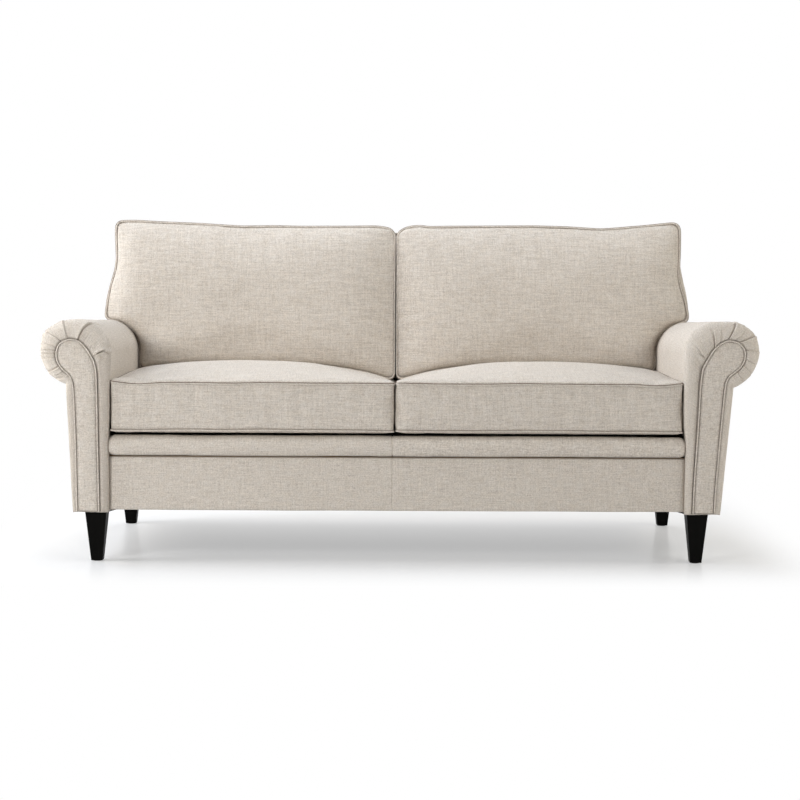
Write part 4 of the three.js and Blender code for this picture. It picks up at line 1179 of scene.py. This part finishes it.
def back_cushion(side):
    body = f"back_cushion_{side}"
    outline, bottom = back_outline(side)
    x0 = BACK_ENDS[side]
    top_v = outline[:, 1].max()
    centre = np.array([0.415, 0.5 * (bottom + 0.012 + top_v)])
    half = np.array([centre[0], top_v - centre[1]])
    heights, _, bulges = np.array(OUTER_LINES[side]).T

    def swell(x, v):
        a = np.clip(np.abs((x - centre[0]) / half[0]), 0, 1)
        b = np.clip(np.abs((v - centre[1]) / half[1]), 0, 1)
        return (1 - a ** np.where(x > centre[0], 16.0, 6.0)) * (1 - b ** np.where(v > centre[1], 5.0, 24.0))

    def ring(share, depth, crown):
        x, v = (centre + (outline - centre) * share).T
        inward = (1 - share) * np.linalg.norm(outline - centre, axis=1)
        full = swell(x, v) * (1 - np.exp(-inward / 0.016))
        rim = (1 - np.exp(-inward / 0.007)) * math.copysign(0.007, crown)
        return back_place(x, depth + crown * full + rim * (0.4 + 0.6 * swell(x, v)), v)

    shares = (0.10, 0.22, 0.36, 0.50, 0.63, 0.74, 0.83, 0.90, 0.95, 0.98, 0.995)
    rings = [ring(s, BOXING, DEPTH - BOXING - 0.010) for s in shares]
    outer = smooth((outline[:, 0] - 0.70) / 0.10) * smooth((outline[:, 1] - 0.64) / 0.02)
    bulge = outer * np.interp(outline[:, 1], heights, bulges)
    for t in np.linspace(1, 0, 14):
        x = outline[:, 0] - 0.0014 + (bulge + 0.0014 * outer) * math.sin(math.pi * min(1.0, t * 1.25)) ** 0.8
        v = outline[:, 1] - 0.0016 * (1 - abs(2 * t - 1)) * smooth((outline[:, 1] - 0.85) / 0.03)
        rings.append(back_place(np.maximum(x, x0), BOXING * t, v))
    rings += [ring(s, 0.0, -(BACK_CROWN - 0.014)) for s in reversed(shares)]
    obj = remeshed(f"back_pad_{side}", rings, 0.0095)
    front_line, rear_line = (back_place(outline[:, 0], depth, outline[:, 1]) for depth in (0.0, BOXING))
    before = points_of(obj)
    simulated(obj, [front_line, rear_line], 2.6, -0.010, 0.0105)
    # What rests on the arm, the seat, the inside back or the other cushion gives less
    x, y, z = before.T
    depth = y - FACE_Y - (z - FACE_Z) * BACK_SLOPE
    arm = smooth((x - 0.735) / 0.02) * (1 - smooth((z - 0.645) / 0.03))
    sides = smooth((x - 0.79) / 0.03) * smooth(depth / 0.03)
    ends = np.maximum(smooth((x - 0.56) / 0.26), smooth((z - 0.70) / 0.17))
    ends = np.maximum(ends, 1 - smooth((z - 0.47) / 0.13)) * (1 - smooth((depth - 0.01) / 0.03))
    free = 1 - 0.85 * smooth((depth - 0.09) / 0.05)
    free = free * (1 - 0.9 * arm) * (1 - 0.75 * sides) * (1 - 0.6 * ends)
    grown = (points_of(obj) - before) * free[:, None]
    grown[:, 2] *= smooth((z - z.min()) / 0.05)
    p = before + grown
    least = x0 + 0.004 * smooth(depth / 0.015) * (1 - smooth((depth - 0.10) / 0.03))
    p[:, 0] = np.maximum(p[:, 0], least)
    put_points(obj, p)
    applied(obj, "SUBSURF", levels=1, render_levels=1)
    p, no = points_of(obj), normals_of(obj)
    seed = 111 + 10 * ORDER[side]
    slow = 0.0022 * noise(p, (0.16, 0.2, 0.14), seed) + 0.0008 * noise(p, (0.06, 0.1, 0.05), seed + 1)
    p = p + no * (slow * smooth((-no[:, 1] - 0.2) / 0.4))[:, None]
    finish_cushion(obj, p, side, body, 5.0, 0.8)
    for name, line, push, dark in (("front", front_line, -1.0, 0.6), ("rear", rear_line, 1.0, 0.5)):
        line = rounded(resampled(line, 0.004, closed=True), 2, closed=True)
        across = unit(np.cross(np.roll(line, -1, 0) - np.roll(line, 1, 0), (0.0, 1.0, 0.0)))

        def beside(out, ahead):
            path = line + across * out + (0, ahead * push, 0)
            path[:, 0] = np.clip(path[:, 0], x0 + 0.0016, None)
            return mirror_if(path, side)

        stitches = [(beside(out, 0.0001), 0.0011, dark) for out in (-0.0028, 0.0028)]
        cushion_welt(
            obj, f"back_welt_{name}_{side}", beside(0.0, 0.0012), body, up=(0, push, -0.17 * push), seed=9,
            flank=0.3, stitches=stitches,
        )


for side in SIDES:
    seat_cushion(side)
    back_cushion(side)


# Back shell
def reclined(x, d, z):
    return stacked(x, BACK_TOP_Y - (BACK_TOP - z) * BACK_SLOPE + d, z)


def back_border():
    """The boxing round the back: up one side, over the top and down the other, with welts at both edges."""
    half, radius, wide = 0.8366, 0.030, 0.0610
    bend = [(math.cos(a), math.sin(a)) for a in np.radians(np.linspace(180, 90, 12))]
    rise = [(half, z) for z in np.linspace(FLOOR_OF_FRAME, BACK_TOP - radius, 60)]
    rise += [(half - radius - radius * cos, BACK_TOP - radius + radius * sin) for cos, sin in bend]
    top = [(x, BACK_TOP) for x in np.linspace(-half + radius, half - radius, 110)[1:-1]]
    line = np.array([(-x, z) for x, z in rise] + top + rise[::-1])
    tangent = unit(np.gradient(line, axis=0))
    out = stacked(-tangent[:, 1], tangent[:, 0])
    share = np.concatenate([[0.0, 0.02, 0.05], np.linspace(0.1, 0.9, 9), [0.95, 0.98, 1.0]])
    s = lengths(line)
    rings, weave = [], []

    def add(t, place, mark):
        d = 0.0005 + wide * t
        rings.append(reclined(place[:, 0], d, place[:, 1]))
        weave.append(stacked(s, d, mark))

    for t in share:
        uneven = 0.0008 * noise(stacked(s, t, 0), (0.09, 0.5, 1), 131)[:, None]
        add(t, line + out * (0.0016 * math.sin(math.pi * t) ** 0.5 - 0.0022 + uneven), 7.0)
    for t in share[::-1]:
        add(t, line - out * 0.011, 7.4)
    obj = loft("back_border", np.transpose(rings, (1, 0, 2)), np.transpose(weave, (1, 0, 2)))
    stands_for(obj, 0.9, "back_top_border", "back_side_border_left", "back_side_border_right")
    at = line + out * -0.0012
    paths = [resampled(reclined(at[:, 0], d, at[:, 1]), 0.005) for d in (0.0004, 0.0616)]
    cords("back_border_welts", paths, 0.0024, up=(0, -1, 0.2), seed=13)


def back_panel(name, node, d, thick, bottom, proud, seed):
    """A padded panel in the plane of the back."""
    side, top = 0.8245, BACK_TOP - 0.0125

    def places(low, high, count):
        ends = np.linspace(low, low + 0.02, 6), np.linspace(high - 0.02, high, 6)
        return np.concatenate([ends[0], np.linspace(low + 0.03, high - 0.03, count), ends[1]])

    xx, zz = np.meshgrid(places(-side, side, 90), places(bottom, top, 40))
    edge = np.minimum(np.minimum(side - np.abs(xx), zz - bottom), top - zz)
    uneven = 0.0012 * noise(stacked(xx, 0, zz), (0.2, 1, 0.16), seed)
    puff = proud * (1 - np.exp(-np.clip(edge, 0, 1) / 0.03)) + uneven
    place = reclined(xx, d + np.sign(thick) * -puff, zz)
    weave = stacked(xx, zz, 8.0 + seed)
    stands_for(plate(name, place, (0, thick, 0), weave), 0.9, node)


back_border()
back_panel("outside_back", "outside_back_panel", 0.0608, -0.0045, FLOOR_OF_FRAME + 0.0005, 0.0035, 141)
inside_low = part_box("inside_back_pad")[0].z
back_panel("inside_back", "inside_back_pad", 0.0012, 0.0085, inside_low, 0.0010, 151)


# Deck and dust cover
def deck():
    """The padded platform in lining, with a seam along its middle and stitched edges."""
    low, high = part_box("seat_deck")
    v_top, v_low = SEAT_BOTTOM - 0.0004, SEAT_BOTTOM - 0.0335
    share = np.concatenate([[0, 0.004, 0.012, 0.025], np.linspace(0.05, 0.97, 44), [0.985, 0.995, 1.0]])
    front_y, back_y = low.y + 0.0004, on_inside_back(np.array(v_top), SEAT_SLOPE) - 0.0004
    y, base_y = front_y + (back_y - front_y) * share, np.linspace(back_y - 0.006, front_y, 12)
    rings, weave = [], []
    for x in np.linspace(low.x, high.x, 120):
        edge = np.minimum(np.minimum(y - front_y, back_y - y), high.x - abs(x))
        seam = 0.0016 * np.exp(-((x / 0.0035) ** 2))
        z = v_top - 0.0065 * np.exp(-np.clip(edge, 0, 1) / 0.010) - seam
        z = z - 0.0004 * (1 + noise(stacked(x, y, 0), (0.1, 0.1, 1), 161))
        top = stacked(x, y, z)
        base = stacked(x, base_y, v_low)
        ring = seat_pitched(np.vstack([top, base]))
        s = lengths(ring)
        rings.append(ring)
        weave.append(stacked(x, s, 9.0))
    stands_for(loft("deck_cover", rings, weave, look=LINING, slot="lining"), 0.8, "seat_deck")


def dust_cover():
    """Thin lining tacked under the frame, cut out round the legs, which sags between its edges."""
    low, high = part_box("dust_cover")
    legs = [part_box(f"leg_{end}_right") for end in ("front", "rear")]
    leg_x, front_leg, rear_leg = legs[0][0].x - 0.0003, legs[0][1].y + 0.0003, legs[1][0].y - 0.0003
    xs = np.unique(np.round(np.concatenate([np.linspace(low.x, high.x, 80), [-leg_x, leg_x]]), 5))
    ys = np.unique(np.round(np.concatenate([np.linspace(low.y, high.y, 40), [front_leg, rear_leg]]), 5))
    points, index = [], {}

    def point(i, j, lower):
        key = (i, j, lower)
        if key not in index:
            x, y = xs[i], ys[j]
            edge = min(high.x - abs(x), y - low.y, high.y - y)
            for leg_y in (front_leg, rear_leg):
                if abs(x) > leg_x - 0.12:
                    past = abs(y - leg_y)
                    edge = min(edge, max(leg_x - abs(x), past) if abs(x) < leg_x else past)
            uneven = float(noise(np.array([x, y, 0.0]), (0.09, 0.09, 1), 171))
            sag = 0.0040 * float(smooth(edge / 0.18)) + 0.0008 * uneven
            raised = float(smooth((0.757 - abs(x)) / 0.02) * (1 - smooth((y + 0.38) / 0.5)))
            lift = (RAIL_BOTTOM - high.z) * raised
            index[key] = len(points)
            points.append((x, y, high.z + lift - 0.0004 - abs(sag) - (0.0008 if lower else 0)))
        return index[key]

    def cut_out(i, j):
        y = 0.5 * (ys[j] + ys[j + 1])
        return abs(0.5 * (xs[i] + xs[i + 1])) > leg_x and (y < front_leg or y > rear_leg)

    faces = [(i, j) for i in range(len(xs) - 1) for j in range(len(ys) - 1) if not cut_out(i, j)]
    kept = set(faces)
    polys = []
    for i, j in faces:
        a, b, c, d = (i, j), (i + 1, j), (i + 1, j + 1), (i, j + 1)
        polys.append([point(*q, False) for q in (a, b, c, d)])
        polys.append([point(*q, True) for q in (d, c, b, a)])
        beside = (i, j - 1), (i + 1, j), (i, j + 1), (i - 1, j)
        for p0, p1, other in zip((a, b, c, d), (b, c, d, a), beside):
            if other not in kept:
                polys.append([point(*p1, False), point(*p0, False), point(*p0, True), point(*p1, True)])
    points = np.array(points)
    weave = stacked(points[:, 0], points[:, 1], 9.5)
    obj = face_out(make("dust_sheet", points, polys, weave, look=LINING, slot="lining"))
    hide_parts("dust_cover")


deck()
dust_cover()


# Finishes of the CAD nodes that show as they are
BLACK_TONES = [(0.3, srgb(5, 5, 4)), (0.7, srgb(13, 12, 11))]
EBONISED = wood_material("ebonised_wood", BLACK_TONES, 0.45, (60, 60, 9), specular=0.04, bump=0.0002)
BEECH_TONES = [(0.28, srgb(176, 134, 88)), (0.5, srgb(201, 162, 113)), (0.72, srgb(219, 184, 138))]
BEECH = {
    axis: wood_material(f"beech_{axis}", BEECH_TONES, 0.62, grain)
    for axis, grain in (("x", (7, 70, 70)), ("y", (70, 7, 70)), ("z", (70, 70, 7)))
}
STEEL, n = material("spring_steel", 0.38, Metallic=1.0)
streaks = n.noise(n.position(), (60, 60, 60), 4.0, 0.6)
tones = n.ramp(streaks, (0.3, srgb(146, 148, 151)), (0.7, srgb(186, 187, 188)))
n.finish(tones, n.bump(streaks, 0.0001, 0.4), n.range(streaks, 0.3, 0.7, 0.30, 0.48))
GLIDE, n = material("glide_plastic", 0.6)
grain = n.noise(n.position(), 900.0, 2.0)
n.finish(n.ramp(grain, (0.3, srgb(38, 38, 38)), (0.7, srgb(52, 52, 51))), n.bump(grain, 0.0002, 0.3))


def dress(node, look, bevel=0.0):
    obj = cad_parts[node]
    obj.data.materials.clear()
    obj.data.materials.append(look)
    if bevel:
        mod = obj.modifiers.new("Bevel", "BEVEL")
        mod.width, mod.segments = bevel, 3
        mod.limit_method, mod.angle_limit = "ANGLE", math.radians(50)


ALONG = {
    "z": ("corner_block", "arm_front_post", "arm_rear_post", "back_post", "back_centre_post"),
    "x": ("front_rail", "rear_rail", "back_top_rail", "back_lower_rail"),
    "y": ("side_rail", "centre_rail", "arm_top_rail"),
}
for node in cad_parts:
    if node.startswith("leg_"):
        dress(node, EBONISED, 0.0022)
    elif node.startswith("glide_"):
        dress(node, GLIDE, 0.0008)
    elif node.startswith(("hanger_bolt", "seat_spring")):
        dress(node, STEEL)
    elif node == "back_webbing":
        dress(node, WEBBING)
    else:
        for axis, starts in ALONG.items():
            if node.startswith(starts):
                dress(node, BEECH[axis], 0.0018)


# Floor, backdrop and light
FAR = 14.0
# FLOOR_GLOW is the share of white glow that the camera sees even beside the sofa: painted light that lifts
# the floor's shadow
FLOOR_SHADE, FLOOR_GLOSS, FLOOR_GLOW = 0.78, 0.20, 0.34
SOFT_LIGHT, BACKDROP = 0.02, 1.0
# Where the shadow on the floor begins and ends to fade: to the sides, in front and behind
FADE_ASIDE, FADE_AHEAD, FADE_BEHIND = (0.92, 1.16), (-0.44, -0.80), (0.50, 1.6)


def seen_straight(n):
    """1 where the camera looks at a surface itself, or sees it in gloss or through glass."""
    rays = n.new("LightPath").outputs
    seen = n.math("MAXIMUM", rays["Is Camera Ray"], rays["Is Glossy Ray"])
    return n.math("MAXIMUM", seen, rays["Is Transmission Ray"])


def floor_material():
    """Satin white that keeps the sofa's shadow near it, lightened by a painted glow, and turns to plain white
    to the camera further out.
    """
    mat = bpy.data.materials.new("floor")
    mat.use_nodes = True
    mat.node_tree.nodes.clear()
    n = Nodes(mat.node_tree)
    diffuse = n.new("BsdfDiffuse", {"Color": (FLOOR_SHADE, FLOOR_SHADE, FLOOR_SHADE, 1)})
    gloss = n.new("BsdfGlossy", {"Color": WHITE, "Roughness": 0.20})
    satin = n.new("MixShader", {0: FLOOR_GLOSS, 1: diffuse.outputs[0], 2: gloss.outputs[0]})
    glow = n.new("Emission", {"Color": WHITE})
    place = n.new("SeparateXYZ", {0: n.new("NewGeometry").outputs["Position"]}).outputs
    kept = 1.0
    aside = n.math("ABSOLUTE", place["X"])
    for value, near, far in ((aside, *FADE_ASIDE), (place["Y"], *FADE_AHEAD), (place["Y"], *FADE_BEHIND)):
        fade = n.range(value, near, far, 1.0, 0.0, interpolation_type="SMOOTHSTEP")
        kept = n.math("MULTIPLY", fade, kept)
    share = n.math("SUBTRACT", 1.0, n.math("MULTIPLY", kept, 1.0 - FLOOR_GLOW))
    share = n.math("MULTIPLY", share, seen_straight(n))
    mixed = n.new("MixShader", {0: share, 1: satin.outputs[0], 2: glow.outputs[0]})
    n.new("OutputMaterial", {"Surface": mixed.outputs[0]})
    return mat


floor_mesh = bpy.data.meshes.new("floor")
floor_mesh.from_pydata([(-FAR, -FAR, 0), (FAR, -FAR, 0), (FAR, FAR, 0), (-FAR, FAR, 0)], [], [(0, 1, 2, 3)])
floor_mesh.materials.append(floor_material())
placed("floor", floor_mesh)

world = bpy.data.worlds.new("studio")
bpy.context.scene.world = world
world.use_nodes = True
world.node_tree.nodes.clear()
n = Nodes(world.node_tree)
soft = n.new("Background", {"Color": WHITE, "Strength": SOFT_LIGHT}).outputs[0]
behind = n.new("Background", {"Color": WHITE, "Strength": BACKDROP}).outputs[0]
sky = n.new("MixShader", {0: seen_straight(n), 1: soft, 2: behind})
n.new("OutputWorld", {"Surface": sky.outputs[0]})


def lamp(name, place, target, size, watts, colour=(1.0, 1.0, 1.0)):
    data = bpy.data.lights.new(name, "AREA")
    data.shape, data.size, data.energy, data.color = "DISK", size, watts, colour
    obj = placed(name, data)
    obj.location = place
    obj.rotation_mode = "QUATERNION"
    obj.rotation_quaternion = (Vector(target) - Vector(place)).to_track_quat("-Z", "Y")
    return obj


lamp("key", (-2.2, -2.9, 1.7), (0.0, -0.2, 0.4), 0.9, 51)
lamp("overhead", (0.0, 0.0, 2.5), (0.0, 0.0, 0.0), 2.0, 27.5, (0.94, 1.0, 1.10))
lamp("right_arm_light", (-2.4, 0.4, 2.4), (0.7, 0.0, 0.5), 1.2, 21, (0.87, 1.0, 1.20))
lamp("rear_top", (0.0, 2.2, 2.9), (0.0, 0.0, 0.3), 2.4, 32)
lamp("left_side", (-3.4, -0.6, 1.8), (0.0, 0.0, 0.5), 1.6, 75)
lamp("right_side", (3.4, -0.6, 1.8), (0.0, 0.0, 0.5), 1.6, 30, (1.0, 0.97, 0.87))
lamp("right_fill", (2.6, -2.6, 2.2), (0.0, 0.0, 0.5), 1.6, 34, (1.0, 0.985, 0.96))
backdrop_light = lamp("backdrop_light", (0.0, 6.0, 0.8), (0.0, 0.0, 0.2), 7.0, 510)
backdrop_light.visible_camera = backdrop_light.visible_glossy = False

bpy.context.scene.view_settings.view_transform = "Standard"

bpy.context.view_layer.update()
